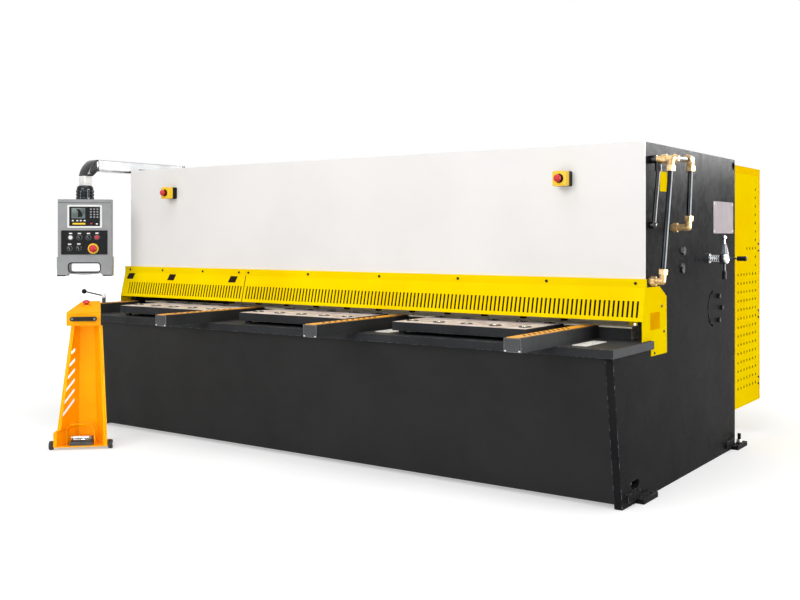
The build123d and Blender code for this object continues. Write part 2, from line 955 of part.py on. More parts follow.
# Black drain pipe: it hangs from the tee's port block and goes back into the frame lower down
drain_x = frame_outer_x + drain_offset
drain_top_z = run_z - fitting_diameter / 2
drain_foot = (frame_outer_x + drain_port_offset, drain_port_y, drain_port_z)
with BuildPart() as drain:
    rod((frame_outer_x, tee_y, run_z), (frame_outer_x + port_block_length, tee_y, run_z), port_block)
    rod((drain_x, tee_y, drain_top_z - drain_fitting_length), (drain_x, tee_y, drain_top_z), drain_fitting)
    rod((drain_x, tee_y, drain_top_z - drain_fitting_length), drain_foot, drain_pipe)
    with Locations(drain_foot):
        Sphere(drain_fitting / 2)
    rod((frame_outer_x, drain_port_y, drain_port_z), drain_foot, drain_fitting)
save(drain, "drain_pipe")

# Port plugs, and three bolts beside the curved slot
with BuildPart() as plugs:
    with BuildSketch(Plane.YZ.offset(frame_outer_x)):
        with Locations(*plug_places):
            Circle(plug_diameter / 2)
    extrude(amount=plug_height)
    for y, z in arc_bolt_places:
        hexagon((frame_outer_x, y, z), (1, 0, 0), arc_bolt, arc_bolt_height)
save(plugs, "plugs_and_bolts")


def handle_point(out, up=0):
    """A point of the turn handle: out from the side frame, and up from its axis."""
    return (frame_outer_x + out, handle_y, handle_z + up)


# Turn handle: boss on the frame, grooved shaft, hub, coned arm, lower arm and pull knob
with BuildPart() as boss:
    with BuildSketch(Plane.YZ.offset(frame_outer_x)):
        with Locations((handle_y, handle_z)):
            Circle(handle_boss / 2)
            Circle(handle_shaft / 2 + running_gap, mode=Mode.SUBTRACT)
    extrude(amount=handle_boss_height)
save(boss, "handle_boss")

hub_middle = (hub_start + hub_end) / 2
handle_seat = 0.3
with BuildPart() as handle:
    rod(handle_point(handle_seat), handle_point(handle_groove_at), handle_shaft)
    rod(handle_point(handle_groove_at), handle_point(hub_start), handle_shaft - 2 * handle_groove)
    rod(handle_point(handle_groove_at + handle_groove), handle_point(hub_start), handle_shaft)
    rod(handle_point(hub_start), handle_point(hub_end), handle_hub)
    fillet(handle.edges().filter_by(GeomType.CIRCLE).sort_by(Axis.X)[-1], handle_groove)
    rod(handle_point(hub_end), handle_point(knob_start), knob_rod)
    rod(handle_point(hub_middle), handle_point(hub_middle, -lower_arm_end), lower_arm)
    rod(handle_point(hub_middle, cone_end), handle_point(hub_middle, pull_end - pull_diameter / 2), lower_arm)
    with Locations(handle_point(hub_middle, pull_end - pull_diameter / 2)):
        Sphere(pull_diameter / 2)
save(handle, "star_handle")

cone_plane = Plane(origin=handle_point(hub_middle, cone_start), z_dir=(0, 0, 1))
with BuildPart() as cone:
    with BuildSketch(cone_plane):
        Circle(cone_foot / 2)
    with BuildSketch(cone_plane.offset(cone_end - cone_start)):
        Circle(cone_tip / 2)
    loft()
    rod(handle_point(hub_start - cone_foot), handle_point(hub_end + cone_foot), handle_hub, Mode.SUBTRACT)
save(cone, "handle_cone")

with BuildPart() as grips:
    rod(handle_point(hub_middle, -lower_arm_end), handle_point(hub_middle, -grip_end), grip_diameter)
    rod(handle_point(knob_start), handle_point(knob_end), knob_diameter)
    fillet(grips.edges().filter_by(GeomType.CIRCLE), handle_groove)
save(grips, "handle_grips")

# Rear guard: posts, side panels and back panels behind the side frames
guard_back_y = rear_y + rear_guard_depth
with BuildPart() as rear_posts:
    for side in (-1, 1):
        x = side * (frame_outer_x - rear_guard_sheet - rear_guard_post / 2)
        for y in (rear_y, guard_back_y - rear_guard_sheet - rear_guard_post):
            block(
                x - rear_guard_post / 2, x + rear_guard_post / 2, y, y + rear_guard_post,
                rear_guard_bottom_z, rear_guard_top_z,
            )
        for z in (rear_guard_bottom_z, rear_guard_top_z - rear_guard_post):
            block(
                x - rear_guard_post / 2, x + rear_guard_post / 2, rear_y + rear_guard_post,
                guard_back_y - rear_guard_sheet - rear_guard_post, z, z + rear_guard_post,
            )
    inner = frame_outer_x - rear_guard_sheet - rear_guard_post
    for z in (rear_guard_bottom_z, rear_guard_top_z - rear_guard_post):
        block(
            -inner, inner, guard_back_y - rear_guard_sheet - rear_guard_post,
            guard_back_y - rear_guard_sheet, z, z + rear_guard_post,
        )
save(rear_posts, "rear_guard_frame")

with BuildPart() as side_panels:
    for side in (-1, 1):
        outer = side * frame_outer_x
        inner = side * (frame_outer_x - rear_guard_sheet)
        block(
            min(outer, inner), max(outer, inner), rear_y, guard_back_y,
            rear_guard_bottom_z, rear_guard_top_z,
        )
save(side_panels, "rear_guard_sides")

bay = 2 * (frame_outer_x - rear_guard_sheet) / rear_guard_bays
with BuildPart() as back_panels:
    for number in range(rear_guard_bays):
        x0 = -frame_outer_x + rear_guard_sheet + number * bay
        block(
            x0 + rear_guard_seam / 2, x0 + bay - rear_guard_seam / 2, guard_back_y - rear_guard_sheet,
            guard_back_y, rear_guard_bottom_z, rear_guard_top_z,
        )
save(back_panels, "rear_guard_back")

# Pendant bracket on the left side frame, with the pivot pin
bracket_top_z = pendant_arm_z - pivot_gap
arm_half = pendant_arm_width / 2
with BuildPart() as bracket:
    block(
        pendant_x - arm_half, -frame_outer_x, pivot_y - arm_half, pivot_y + arm_half,
        bracket_top_z - bracket_plate, bracket_top_z,
    )
    block(
        -frame_outer_x - bracket_plate, -frame_outer_x, pivot_y - arm_half, pivot_y + arm_half,
        bracket_top_z - bracket_drop, bracket_top_z,
    )
    rod(
        (pendant_x, pivot_y, bracket_top_z),
        (pendant_x, pivot_y, pendant_arm_z + pendant_arm_height - bracket_plate / 2), pivot_pin,
    )
save(bracket, "pendant_bracket")

# Pendant arm: aluminium profile with a round end at the pivot
elbow_back_y = swivel_y + elbow_reach
with BuildPart() as pendant_arm:
    with BuildSketch(Plane.XY.offset(pendant_arm_z)):
        with Locations((pendant_x, (pivot_y + elbow_back_y) / 2)):
            Rectangle(pendant_arm_width, pivot_y - elbow_back_y)
        with Locations((pendant_x, pivot_y)):
            Circle(arm_half)
            Circle(pivot_pin / 2 + running_gap, mode=Mode.SUBTRACT)
    extrude(amount=pendant_arm_height)
save(pendant_arm, "pendant_arm")

# Elbow that turns the arm down into the drop tube
elbow_bottom_z = pendant_arm_z - elbow_drop
elbow_top_z = pendant_arm_z + pendant_arm_height
elbow_half = drop_tube / 2 + elbow_wall
elbow_span = elbow_back_y - swivel_y + elbow_half
elbow_rise = elbow_top_z - elbow_bottom_z
with BuildPart() as elbow:
    with BuildSketch(Plane.YZ.offset(pendant_x - arm_half)):
        with BuildLine():
            Polyline(
                (elbow_back_y, elbow_top_z),
                (elbow_back_y, pendant_arm_z),
                (swivel_y + elbow_half, elbow_bottom_z),
                (swivel_y - elbow_half, elbow_bottom_z),
            )
            ThreePointArc(
                (swivel_y - elbow_half, elbow_bottom_z),
                (swivel_y - elbow_half + 0.28 * elbow_span, elbow_bottom_z + 0.72 * elbow_rise),
                (elbow_back_y, elbow_top_z),
            )
        make_face()
    extrude(amount=pendant_arm_width)
save(elbow, "pendant_elbow")

with BuildPart() as drop:
    rod((pendant_x, swivel_y, drop_bottom_z), (pendant_x, swivel_y, elbow_bottom_z), drop_tube)
save(drop, "pendant_drop_tube")

# Swivel coupling on top of the pendant housing
neck_z = drop_bottom_z - coupling_neck_height
with BuildPart() as coupling:
    rod((pendant_x, swivel_y, pendant_top_z), (pendant_x, swivel_y, neck_z), coupling_diameter)
    rod((pendant_x, swivel_y, neck_z), (pendant_x, swivel_y, drop_bottom_z - pivot_gap), coupling_neck)
save(coupling, "pendant_coupling")

# Pendant housing, seen square on in its own plane, with a hand grip below
turn = radians(pendant_turn)
panel_plane = Plane(
    origin=(pendant_x + pendant_shift * cos(turn), swivel_y + pendant_shift * sin(turn), 0),
    x_dir=(cos(turn), sin(turn), 0),
    z_dir=(sin(turn), -cos(turn), 0),
)
lug_foot_x = pendant_foot_width / 2 - lug_width
lug_top_x = lug_foot_x - lug_slope
bar_bottom_z = grip_opening_bottom_z - grip_bar
with BuildPart() as housing:
    with BuildSketch(panel_plane.offset(-pendant_depth / 2)):
        with Locations((0, (pendant_top_z + ledge_z) / 2)):
            Rectangle(pendant_width, pendant_top_z - ledge_z)
        with Locations((0, (ledge_z + pendant_bottom_z) / 2)):
            Rectangle(pendant_foot_width, ledge_z - pendant_bottom_z)
        with Locations((0, grip_opening_bottom_z + grip_opening_height / 2)):
            RectangleRounded(
                grip_opening_width, grip_opening_height, grip_opening_radius, mode=Mode.SUBTRACT,
            )
        with BuildLine():
            Line((-lug_foot_x, pendant_bottom_z), (-lug_top_x, bar_bottom_z + grip_bow / 2))
            ThreePointArc(
                (-lug_top_x, bar_bottom_z + grip_bow / 2),
                (0, bar_bottom_z - grip_bow / 2),
                (lug_top_x, bar_bottom_z + grip_bow / 2),
            )
            Polyline(
                (lug_top_x, bar_bottom_z + grip_bow / 2),
                (lug_foot_x, pendant_bottom_z),
                (-lug_foot_x, pendant_bottom_z),
            )
        make_face(mode=Mode.SUBTRACT)
    extrude(amount=pendant_depth)
save(housing, "pendant_housing")

face_plane = panel_plane.offset(pendant_depth / 2)
with BuildPart() as display:
    with BuildSketch(face_plane):
        with Locations((0, display_z + display_height / 2)):
            RectangleRounded(display_width, display_height, display_corner)
        with Locations((0, plate_z + plate_height / 2)):
            Rectangle(plate_width, plate_height)
    extrude(amount=panel_sheet)
save(display, "pendant_panels")

with BuildPart() as panel_button:
    button_origin = face_plane.from_local_coords(
        (panel_button_across, pendant_top_z - panel_button_below_top, panel_sheet)
    )
    mushroom(Plane(origin=button_origin, z_dir=face_plane.z_dir), stop_button_base)
save(panel_button, "pendant_stop_button")

# Pedal stand: turned towards the operator, in its own plane on the floor
turn = radians(stand_turn)
stand_plane = Plane(
    origin=(stand_x, stand_y, 0),
    x_dir=(cos(turn), sin(turn), 0),
    z_dir=(sin(turn), -cos(turn), 0),
)


def stand_point(across, forward, up):
    """A point of the stand: across to the right, forward of its front edge, and up."""
    return tuple(stand_plane.from_local_coords(Vector(across, up, forward)))


def stand_level(z):
    """A level plane of the stand, whose second direction points to its back."""
    return Plane(
        origin=(stand_x, stand_y, z),
        x_dir=(cos(turn), sin(turn), 0),
        z_dir=(0, 0, 1),
    )


half = stand_width / 2
foot_z = stand_lift + stand_plate
axle_z = wheel_diameter / 2
with BuildPart() as stand_base:
    with BuildSketch(stand_level(stand_lift)):
        with Locations((0, stand_depth / 2)):
            Rectangle(stand_width, stand_depth)
    extrude(amount=stand_plate)
    with BuildSketch(stand_level(0)):
        for side in (-1, 1):
            with Locations((side * (half - stand_foot_inset), stand_depth - stand_foot_inset)):
                Circle(stand_foot / 2)
    extrude(amount=stand_lift)
    for side in (-1, 1):
        rod(
            stand_point(side * (half - axle_root), -wheel_set_back, axle_z),
            stand_point(side * (half + wheel_gap + wheel_width + axle_end), -wheel_set_back, axle_z),
            axle_diameter,
        )
save(stand_base, "stand_base")


def channel(left, right, depth, centre, wall):
    """Outline of a bent sheet: flanges in front, two wings and a narrow back wall."""
    t = stand_sheet
    wall_left = centre - wall / 2
    wall_right = centre + wall / 2
    return [
        (left + stand_flange, 0), (left, 0), (wall_left, depth), (wall_right, depth), (right, 0),
        (right - stand_flange, 0), (right - stand_flange, t), (right - 2 * t, t),
        (wall_right - t, depth - t), (wall_left + t, depth - t), (left + 2 * t, t),
        (left + stand_flange, t),
    ]


foot_outline = channel(-half, half, column_foot_depth, wall_foot_centre, wall_foot)
knee_outline = channel(knee_left_inset - half, half, column_knee_depth, wall_foot_centre, wall_foot)
top_outline = channel(top_left, top_right, top_depth, wall_top_centre, wall_top)
with BuildPart() as column:
    for low, bottom, high, top in (
        (foot_z, foot_outline, stand_shoulder_z, foot_outline),
        (stand_shoulder_z, foot_outline, stand_knee_z, knee_outline),
        (stand_knee_z, knee_outline, stand_top_z, top_outline),
    ):
        for z, outline in ((low, bottom), (high, top)):
            with BuildSketch(stand_level(z)):
                with BuildLine():
                    Polyline(*outline, close=True)
                make_face()
        loft(ruled=True)
    with BuildSketch(stand_plane.offset(-2 * stand_sheet)):
        for number in range(vent_count):
            inner = (vent_inner - number * vent_inner_step, vent_inner_top_z - number * vent_inner_pitch)
            outer = (vent_outer - number * vent_outer_step, vent_outer_top_z - number * vent_outer_pitch)
            with BuildLine():
                Polyline(
                    inner, outer, (outer[0], outer[1] - vent_width), (inner[0], inner[1] - vent_width),
                    close=True,
                )
            make_face()
    extrude(amount=-stand_depth, mode=Mode.SUBTRACT)
save(column, "stand_column")

slope = (head_back_z - head_front_z) / head_depth
button_tilt = Vector(0, 0, 1) + stand_plane.z_dir * slope
button_seat = stand_point(
    head_front_centre, head_overhang - head_button_back, head_front_z + slope * head_button_back,
)
with BuildPart() as head:
    for forward, width, centre, top in (
        (head_overhang, head_front_width, head_front_centre, head_front_z),
        (head_overhang - head_depth, head_back_width, head_back_centre, head_back_z),
    ):
        with BuildSketch(stand_plane.offset(forward)):
            with Locations((centre, (stand_top_z + top) / 2)):
                Rectangle(width, top - stand_top_z)
    loft(ruled=True)
    with BuildSketch(Plane(origin=button_seat, z_dir=button_tilt)):
        Circle(head_boss / 2)
    extrude(amount=head_boss_height, taper=20)
save(head, "stand_head")

with BuildPart() as bar_handle:
    for side in (-1, 1):
        across = head_front_centre + bar_shift + side * (bar_length / 2 - bar_height / 2)
        rod(
            stand_point(across, head_overhang, bar_z),
            stand_point(across, head_overhang + bar_standoff, bar_z), bar_post,
        )
    with BuildSketch(stand_plane.offset(head_overhang + bar_standoff)):
        with Locations((head_front_centre + bar_shift, bar_z)):
            SlotOverall(bar_length, bar_height)
    extrude(amount=bar_thickness)
save(bar_handle, "stand_handle")

with BuildPart() as stand_button:
    mushroom(Plane(origin=button_seat, z_dir=button_tilt).offset(head_boss_height), head_button)
save(stand_button, "stand_stop_button")

# Hood: a bent sheet tunnel over the foot pedal
hood_half = hood_width / 2
hood_top_z = foot_z + hood_height
with BuildPart() as hood:
    with BuildSketch(stand_plane.offset(-hood_set_back)):
        with BuildLine():
            Polyline(
                (-hood_half, foot_z),
                (-hood_half, hood_top_z - hood_chamfer),
                (-hood_half + hood_chamfer, hood_top_z),
                (hood_half - hood_chamfer, hood_top_z),
                (hood_half, hood_top_z - hood_chamfer),
                (hood_half, foot_z),
            )
            offset(amount=-stand_sheet, side=Side.RIGHT)
        make_face()
    extrude(amount=-hood_depth)
save(hood, "pedal_hood")

# Foot pedal on a low block, hinged at its back
pedal_hub = pedal_pin / 2 + pedal_hub_wall
pedal_pin_z = foot_z + pedal_block_height + pedal_hub + pedal_clear
block_top_z = foot_z + pedal_block_height
cheek_across = pedal_width / 2 + pedal_cheek_gap + pedal_cheek / 2
with BuildPart() as pedal_block:
    with BuildSketch(stand_level(foot_z)):
        with Locations((0, pedal_block_back - pedal_block_depth / 2)):
            Rectangle(2 * cheek_across + 2 * pedal_cheek, pedal_block_depth)
    extrude(amount=pedal_block_height)
    for side in (-1, 1):
        with BuildSketch(stand_level(block_top_z)):
            with Locations((side * cheek_across, pedal_pin_back)):
                Rectangle(pedal_cheek, pedal_cheek_depth)
        extrude(amount=pedal_clear + 2 * pedal_hub)
    rod(
        stand_point(-cheek_across, -pedal_pin_back, pedal_pin_z),
        stand_point(cheek_across, -pedal_pin_back, pedal_pin_z), pedal_pin,
    )
save(pedal_block, "pedal_block")

with BuildPart() as pedal:
    side_plane = Plane(
        origin=stand_point(-pedal_width / 2, -pedal_pin_back, pedal_pin_z),
        x_dir=stand_plane.z_dir,
        z_dir=(-cos(turn), -sin(turn), 0),
    )
    with BuildSketch(side_plane):
        Circle(pedal_hub)
        with Locations(Location((0, 0), pedal_slope)):
            with Locations((pedal_length / 2, pedal_pin / 2)):
                Rectangle(pedal_length, pedal_plate)
        Circle(pedal_pin / 2 + running_gap, mode=Mode.SUBTRACT)
    extrude(amount=-pedal_width)
save(pedal, "foot_pedal")

# Two wheels beside the front edge of the base
wheel_names = (("stand_wheel_left", -1), ("stand_wheel_right", 1))
for name, side in wheel_names:
    near = side * (half + wheel_gap)
    far = side * (half + wheel_gap + wheel_width)
    with BuildPart() as wheel:
        rod(
            stand_point(near, -wheel_set_back, axle_z), stand_point(far, -wheel_set_back, axle_z),
            wheel_diameter,
        )
        rod(
            stand_point(near, -wheel_set_back, axle_z), stand_point(far, -wheel_set_back, axle_z),
            axle_diameter + 2 * running_gap, Mode.SUBTRACT,
        )
    save(wheel, name)
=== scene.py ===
# %% [markdown]
# # A hydraulic guillotine shear, dressed for a studio picture
# The shapes that carry the machine come from its CAD model. This lesson adds what a CAD model
# leaves out: paint with a skin, machined steel, screws, keys, balls, perforations and fins.
# Each step says what the piece is on the real machine, how it could be made, and why it is made so.

# %% Load the frame
import json
from math import cos, pi, radians, sin

import bmesh
import bpy
import numpy as np
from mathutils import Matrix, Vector


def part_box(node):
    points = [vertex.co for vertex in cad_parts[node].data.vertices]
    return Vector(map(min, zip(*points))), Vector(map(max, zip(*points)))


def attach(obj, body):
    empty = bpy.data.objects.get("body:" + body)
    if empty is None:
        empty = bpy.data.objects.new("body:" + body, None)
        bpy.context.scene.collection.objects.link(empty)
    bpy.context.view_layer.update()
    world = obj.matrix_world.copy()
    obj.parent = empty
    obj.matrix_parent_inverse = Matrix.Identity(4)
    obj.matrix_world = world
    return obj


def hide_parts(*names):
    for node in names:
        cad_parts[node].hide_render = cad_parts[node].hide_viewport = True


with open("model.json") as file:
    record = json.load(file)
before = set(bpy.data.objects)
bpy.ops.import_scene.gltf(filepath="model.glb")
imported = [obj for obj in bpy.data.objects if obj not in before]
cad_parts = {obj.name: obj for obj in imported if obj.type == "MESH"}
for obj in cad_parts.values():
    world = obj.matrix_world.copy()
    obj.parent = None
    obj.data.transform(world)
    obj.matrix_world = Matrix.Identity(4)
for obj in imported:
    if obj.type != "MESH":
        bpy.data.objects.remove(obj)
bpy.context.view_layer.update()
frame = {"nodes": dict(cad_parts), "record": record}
nodes = frame["nodes"]

# %% [markdown]
# ## The camera
# The picture was taken from the machine's right front corner, at about breast height, with level
# verticals. A level camera keeps them upright, and a small vertical shift puts the horizon where it
# belongs in the frame. Turning the camera down instead would make the side frames lean.

# %% Camera
view = bpy.data.cameras.new("camera")
view.sensor_width, view.lens = 36, 45.26
view.shift_y = -0.0786
view.clip_end = 100
camera = bpy.data.objects.new("camera", view)
camera.location = (3.7596, -5.4469, 1.2802)
camera.rotation_euler = (radians(90), 0, radians(35.127))
bpy.context.scene.collection.objects.link(camera)
bpy.context.scene.camera = camera
print("camera", camera.location[:], "lens", view.lens)

# %% [markdown]
# ## Mesh helpers
# Most small parts of a machine are pads: an outline on a face, raised by a profile. A screw head, a
# key, a button, a plate and a turned ring differ only in those two curves. So one function of two
# parameters, round the outline and along the profile, makes them all as whole arrays.


# %% From arrays to an object
def build(name, part, look, body="root", angle=32):
    """One object from a part: a point array, and integer arrays of faces with one corner count each.

    Doubles are merged first, so seams and poles close. Then the faces are turned outwards.
    """
    points, face_sets = part
    points = np.asarray(points, float).reshape(-1, 3)
    corners = np.concatenate([f.ravel() for f in face_sets])
    counts = np.concatenate([np.full(len(f), f.shape[1]) for f in face_sets])
    starts = np.concatenate([[0], np.cumsum(counts)[:-1]])
    mesh = bpy.data.meshes.new(name)
    mesh.vertices.add(len(points))
    mesh.vertices.foreach_set("co", points.ravel())
    mesh.loops.add(len(corners))
    mesh.loops.foreach_set("vertex_index", corners.astype(np.int32))
    mesh.polygons.add(len(counts))
    mesh.polygons.foreach_set("loop_start", starts.astype(np.int32))
    mesh.update(calc_edges=True)
    mesh.validate()
    tidy = bmesh.new()
    tidy.from_mesh(mesh)
    bmesh.ops.remove_doubles(tidy, verts=tidy.verts, dist=2e-6)
    bmesh.ops.dissolve_degenerate(tidy, edges=tidy.edges, dist=1e-7)
    bmesh.ops.recalc_face_normals(tidy, faces=tidy.faces)
    tidy.to_mesh(mesh)
    tidy.free()
    mesh.polygons.foreach_set("use_smooth", np.ones(len(mesh.polygons), bool))
    mesh.set_sharp_from_angle(angle=radians(angle))
    mesh.materials.append(finish[look])
    piece = bpy.data.objects.new(name, mesh)
    bpy.context.scene.collection.objects.link(piece)
    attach(piece, body)
    return piece


def join(*parts):
    """Several parts as one: the face numbers of each move on by the points before it."""
    points, faces, base = [], [], 0
    for part_points, part_faces in parts:
        points.append(np.asarray(part_points, float).reshape(-1, 3))
        faces += [f + base for f in part_faces]
        base += len(points[-1])
    return np.concatenate(points), faces


# %% Grids and outlines
def grid_faces(rows, columns):
    """Four-cornered faces of a grid of points whose last column meets the first."""
    number = np.arange(rows * columns).reshape(rows, columns)
    right = np.roll(number, -1, axis=1)
    return np.stack([number[:-1], right[:-1], right[1:], number[1:]], axis=-1).reshape(-1, 4)


def tube(points, start=True, end=True):
    """A part from rows of points (along, round): its wall, and a many-sided face at each closed end."""
    rows, count = points.shape[:2]
    first = np.arange(count)[None]
    ends = ([first[:, ::-1]] if start else []) + ([first + (rows - 1) * count] if end else [])
    return points.reshape(-1, 3), [grid_faces(rows, count), *ends]


def unit(vectors):
    """Each vector divided by its own length."""
    return vectors / np.linalg.norm(vectors, axis=-1, keepdims=True)


def raised(flat, heights):
    """Rows of plane points with one height for each row."""
    return np.concatenate([flat, np.broadcast_to(heights[:, None, None], flat.shape[:2] + (1,))], axis=2)


def circle(radius, count, first=0.0):
    """Points at equal angles round a circle, from a first angle on."""
    angle = first + np.arange(count) * 2 * pi / count
    return radius * np.stack([np.cos(angle), np.sin(angle)], axis=1)


def rounded(width, height, radius, steps=4):
    """A rectangle whose corners are quarter circles: corner centre plus radius times direction."""
    angle = np.concatenate([q * pi / 2 + np.linspace(0, pi / 2, steps + 1) for q in range(4)])
    across = np.repeat([1, -1, -1, 1], steps + 1) * (width / 2 - radius)
    up = np.repeat([1, 1, -1, -1], steps + 1) * (height / 2 - radius)
    return np.stack([across + radius * np.cos(angle), up + radius * np.sin(angle)], axis=1)


def pad(outline, profile):
    """Each outline point moved inwards by the profile's first value, and up by its second.

    The inward direction at a corner is the mean of its two edge normals, lengthened so that both
    edges move by the same distance.
    """
    outline, profile = np.asarray(outline, float), np.asarray(profile, float)
    edge = unit(np.roll(outline, -1, axis=0) - outline)
    inward = np.stack([-edge[:, 1], edge[:, 0]], axis=1)
    both = inward + np.roll(inward, 1, axis=0)
    both /= (both * both).sum(1, keepdims=True) / 2
    return tube(raised(outline[None] + profile[:, None, :1] * both[None], profile[:, 1]))


def slab(width, height, radius, steps, *profile):
    """A pad on a rounded rectangle."""
    return pad(rounded(width, height, radius, steps), profile)


def turned(profile, count=32):
    """A turned part: rows of (radius, height), each carried once round the axis."""
    profile = np.asarray(profile, float)
    flat = profile[:, None, :1] * circle(1, count)[None]
    return tube(raised(flat, profile[:, 1]), profile[0, 0] > 1e-6, profile[-1, 0] > 1e-6)


def ring(profile, count=32):
    """A turned part whose profile is a closed loop, such as a collar or a tyre."""
    return turned([*profile, profile[0]], count)[0], [grid_faces(len(profile) + 1, count)]


# %% Placing
FACES = {
    "front": ((1, 0, 0), (0, 0, 1)), "back": ((-1, 0, 0), (0, 0, 1)),
    "right": ((0, 1, 0), (0, 0, 1)), "left": ((0, -1, 0), (0, 0, 1)),
    "top": ((1, 0, 0), (0, 1, 0)), "bottom": ((1, 0, 0), (0, -1, 0)),
}
SIDES = ((1, "right"), (-1, "left"))
UP = np.array([0, 0, 1.0])


def place(part, origins, across, up=None):
    """Copies of a part at many places: origin + across * a + up * b + out * h, all at once.

    out is across x up, so a part made flat on the table stands out of the face that it is put on.
    """
    if isinstance(across, str):
        across, up = FACES[across]
    across, up = np.asarray(across, float), np.asarray(up, float)
    axes = np.stack([across, up, np.cross(across, up)])
    points, faces = part
    origins = np.asarray(origins, float).reshape(-1, 3)
    moved = (points @ axes)[None] + origins[:, None]
    step = np.arange(len(origins)) * len(points)
    return moved.reshape(-1, 3), [(f[None] + step[:, None, None]).reshape(-1, f.shape[1]) for f in faces]


def box(low, high, bevel=0.001):
    """A block between two corners with its upper and lower edges broken by a small chamfer."""
    low, high = np.asarray(low, float), np.asarray(high, float)
    size, middle = high - low, (low + high) / 2
    part = slab(size[0], size[1], min(2 * bevel, size[0] / 3, size[1] / 3), 2,
                (bevel, 0), (0, bevel), (0, size[2] - bevel), (bevel, size[2]))
    return place(part, [middle[0], middle[1], low[2]], "top")


def sweep(section, path):
    """A section carried along a path: point + side * a + above * b, where side is along x up."""
    along = unit(np.gradient(path, axis=0))
    side = unit(np.cross(along, UP))
    above = np.cross(side, along)
    return tube(path[:, None] + section[None, :, :1] * side[:, None] + section[None, :, 1:] * above[:, None])


print("helpers ready; a 32-sided washer has", len(turned([(0.01, 0), (0.01, 0.002)])[0]), "points")

# %% [markdown]
# ## Shared shader groups
# Paint, plastic and steel look real through small irregularities that many finishes share: the
# skin of sprayed paint, fine scratches of a machined face, dust on what faces up, and edges that
# hands and sheets have rubbed. Each is a node group with named sockets, built once. A group gives
# only masks and values; the shader stays in the material.


# %% Node helpers
def group(name, inputs, outputs):
    """An empty shader group with named float or vector sockets."""
    tree = bpy.data.node_groups.new(name, "ShaderNodeTree")
    for label, kind, value in inputs:
        socket = tree.interface.new_socket(label, in_out="INPUT", socket_type=kind)
        if kind == FLOAT:
            socket.default_value = value
    for label in outputs:
        tree.interface.new_socket(label, in_out="OUTPUT", socket_type=FLOAT)
    return tree, tree.nodes.new("NodeGroupInput"), tree.nodes.new("NodeGroupOutput")


def node(tree, kind, links=(), **settings):
    """A node with its settings and inputs. A link is (socket, what feeds it); a number sets the socket."""
    made = tree.nodes.new(kind)
    for key, value in settings.items():
        setattr(made, key, value)
    for socket, source in links:
        if isinstance(source, bpy.types.NodeSocket):
            tree.links.new(source, made.inputs[socket])
        else:
            made.inputs[socket].default_value = source
    return made


def noise(tree, where, scale, detail, **more):
    """A noise texture's value; more sets its other sockets by name."""
    sockets = [("Vector", where), ("Scale", scale), ("Detail", detail), *more.items()]
    return node(tree, "ShaderNodeTexNoise", sockets).outputs["Fac"]


def calc(tree, operation, first, second):
    """One step of arithmetic on two values."""
    return node(tree, "ShaderNodeMath", [(0, first), (1, second)], operation=operation).outputs[0]


def spread(tree, value, low, high, to_low=0.0, to_high=1.0):
    """The value stretched from one range to another, and held inside it."""
    return node(tree, "ShaderNodeMapRange", [
        ("Value", value), ("From Min", low), ("From Max", high), ("To Min", to_low), ("To Max", to_high),
    ]).outputs["Result"]


VECTOR, FLOAT = "NodeSocketVector", "NodeSocketFloat"

# %% Paint skin: a fine stipple on a slow unevenness
skin, ins, outs = group(
    "paint_skin", [("Vector", VECTOR, 0), ("Stipple", FLOAT, 220.0), ("Patches", FLOAT, 3.0)],
    ["Height", "Mottle"],
)
fine = noise(skin, ins.outputs["Vector"], ins.outputs["Stipple"], 3.0, Roughness=0.6)
slow = noise(skin, ins.outputs["Vector"], ins.outputs["Patches"], 4.0, Roughness=0.55)
skin.links.new(fine, outs.inputs["Height"])
skin.links.new(spread(skin, slow, 0.3, 0.7), outs.inputs["Mottle"])

# %% Rubbed edges: where a rounded normal leaves the true one, broken up by noise
rubbed, ins, outs = group(
    "rubbed_edges", [("Vector", VECTOR, 0), ("Radius", FLOAT, 0.003), ("Breakup", FLOAT, 45.0)], ["Mask"],
)
soft = node(rubbed, "ShaderNodeBevel", [("Radius", ins.outputs["Radius"])], samples=4).outputs[0]
true = node(rubbed, "ShaderNodeNewGeometry").outputs["Normal"]
dot = node(rubbed, "ShaderNodeVectorMath", [(0, soft), (1, true)], operation="DOT_PRODUCT").outputs["Value"]
patch = noise(rubbed, ins.outputs["Vector"], ins.outputs["Breakup"], 4.0)
worn_edge = calc(rubbed, "MULTIPLY", spread(rubbed, dot, 0.97, 0.80), spread(rubbed, patch, 0.45, 0.65))
rubbed.links.new(worn_edge, outs.inputs["Mask"])

# %% Settled dust: thickest on faces that look up
dust, ins, outs = group("settled_dust", [("Vector", VECTOR, 0), ("Grain", FLOAT, 9.0)], ["Mask"])
facing = node(dust, "ShaderNodeNewGeometry").outputs["Normal"]
level = node(dust, "ShaderNodeSeparateXYZ", [(0, facing)]).outputs["Z"]
cloud = noise(dust, ins.outputs["Vector"], ins.outputs["Grain"], 6.0, Roughness=0.65)
settled = calc(dust, "MULTIPLY", spread(dust, level, 0.2, 0.95), spread(dust, cloud, 0.35, 0.75))
dust.links.new(settled, outs.inputs["Mask"])

# %% Machined lines: noise that a material stretches along one direction
lines, ins, outs = group(
    "machined_lines", [("Vector", VECTOR, 0), ("Scale", FLOAT, 60.0)], ["Height", "Streak"],
)
thin = noise(lines, ins.outputs["Vector"], ins.outputs["Scale"], 4.0, Roughness=0.7)
wide = noise(lines, ins.outputs["Vector"], calc(lines, "MULTIPLY", ins.outputs["Scale"], 0.2), 3.0)
lines.links.new(thin, outs.inputs["Height"])
lines.links.new(spread(lines, wide, 0.35, 0.65), outs.inputs["Streak"])

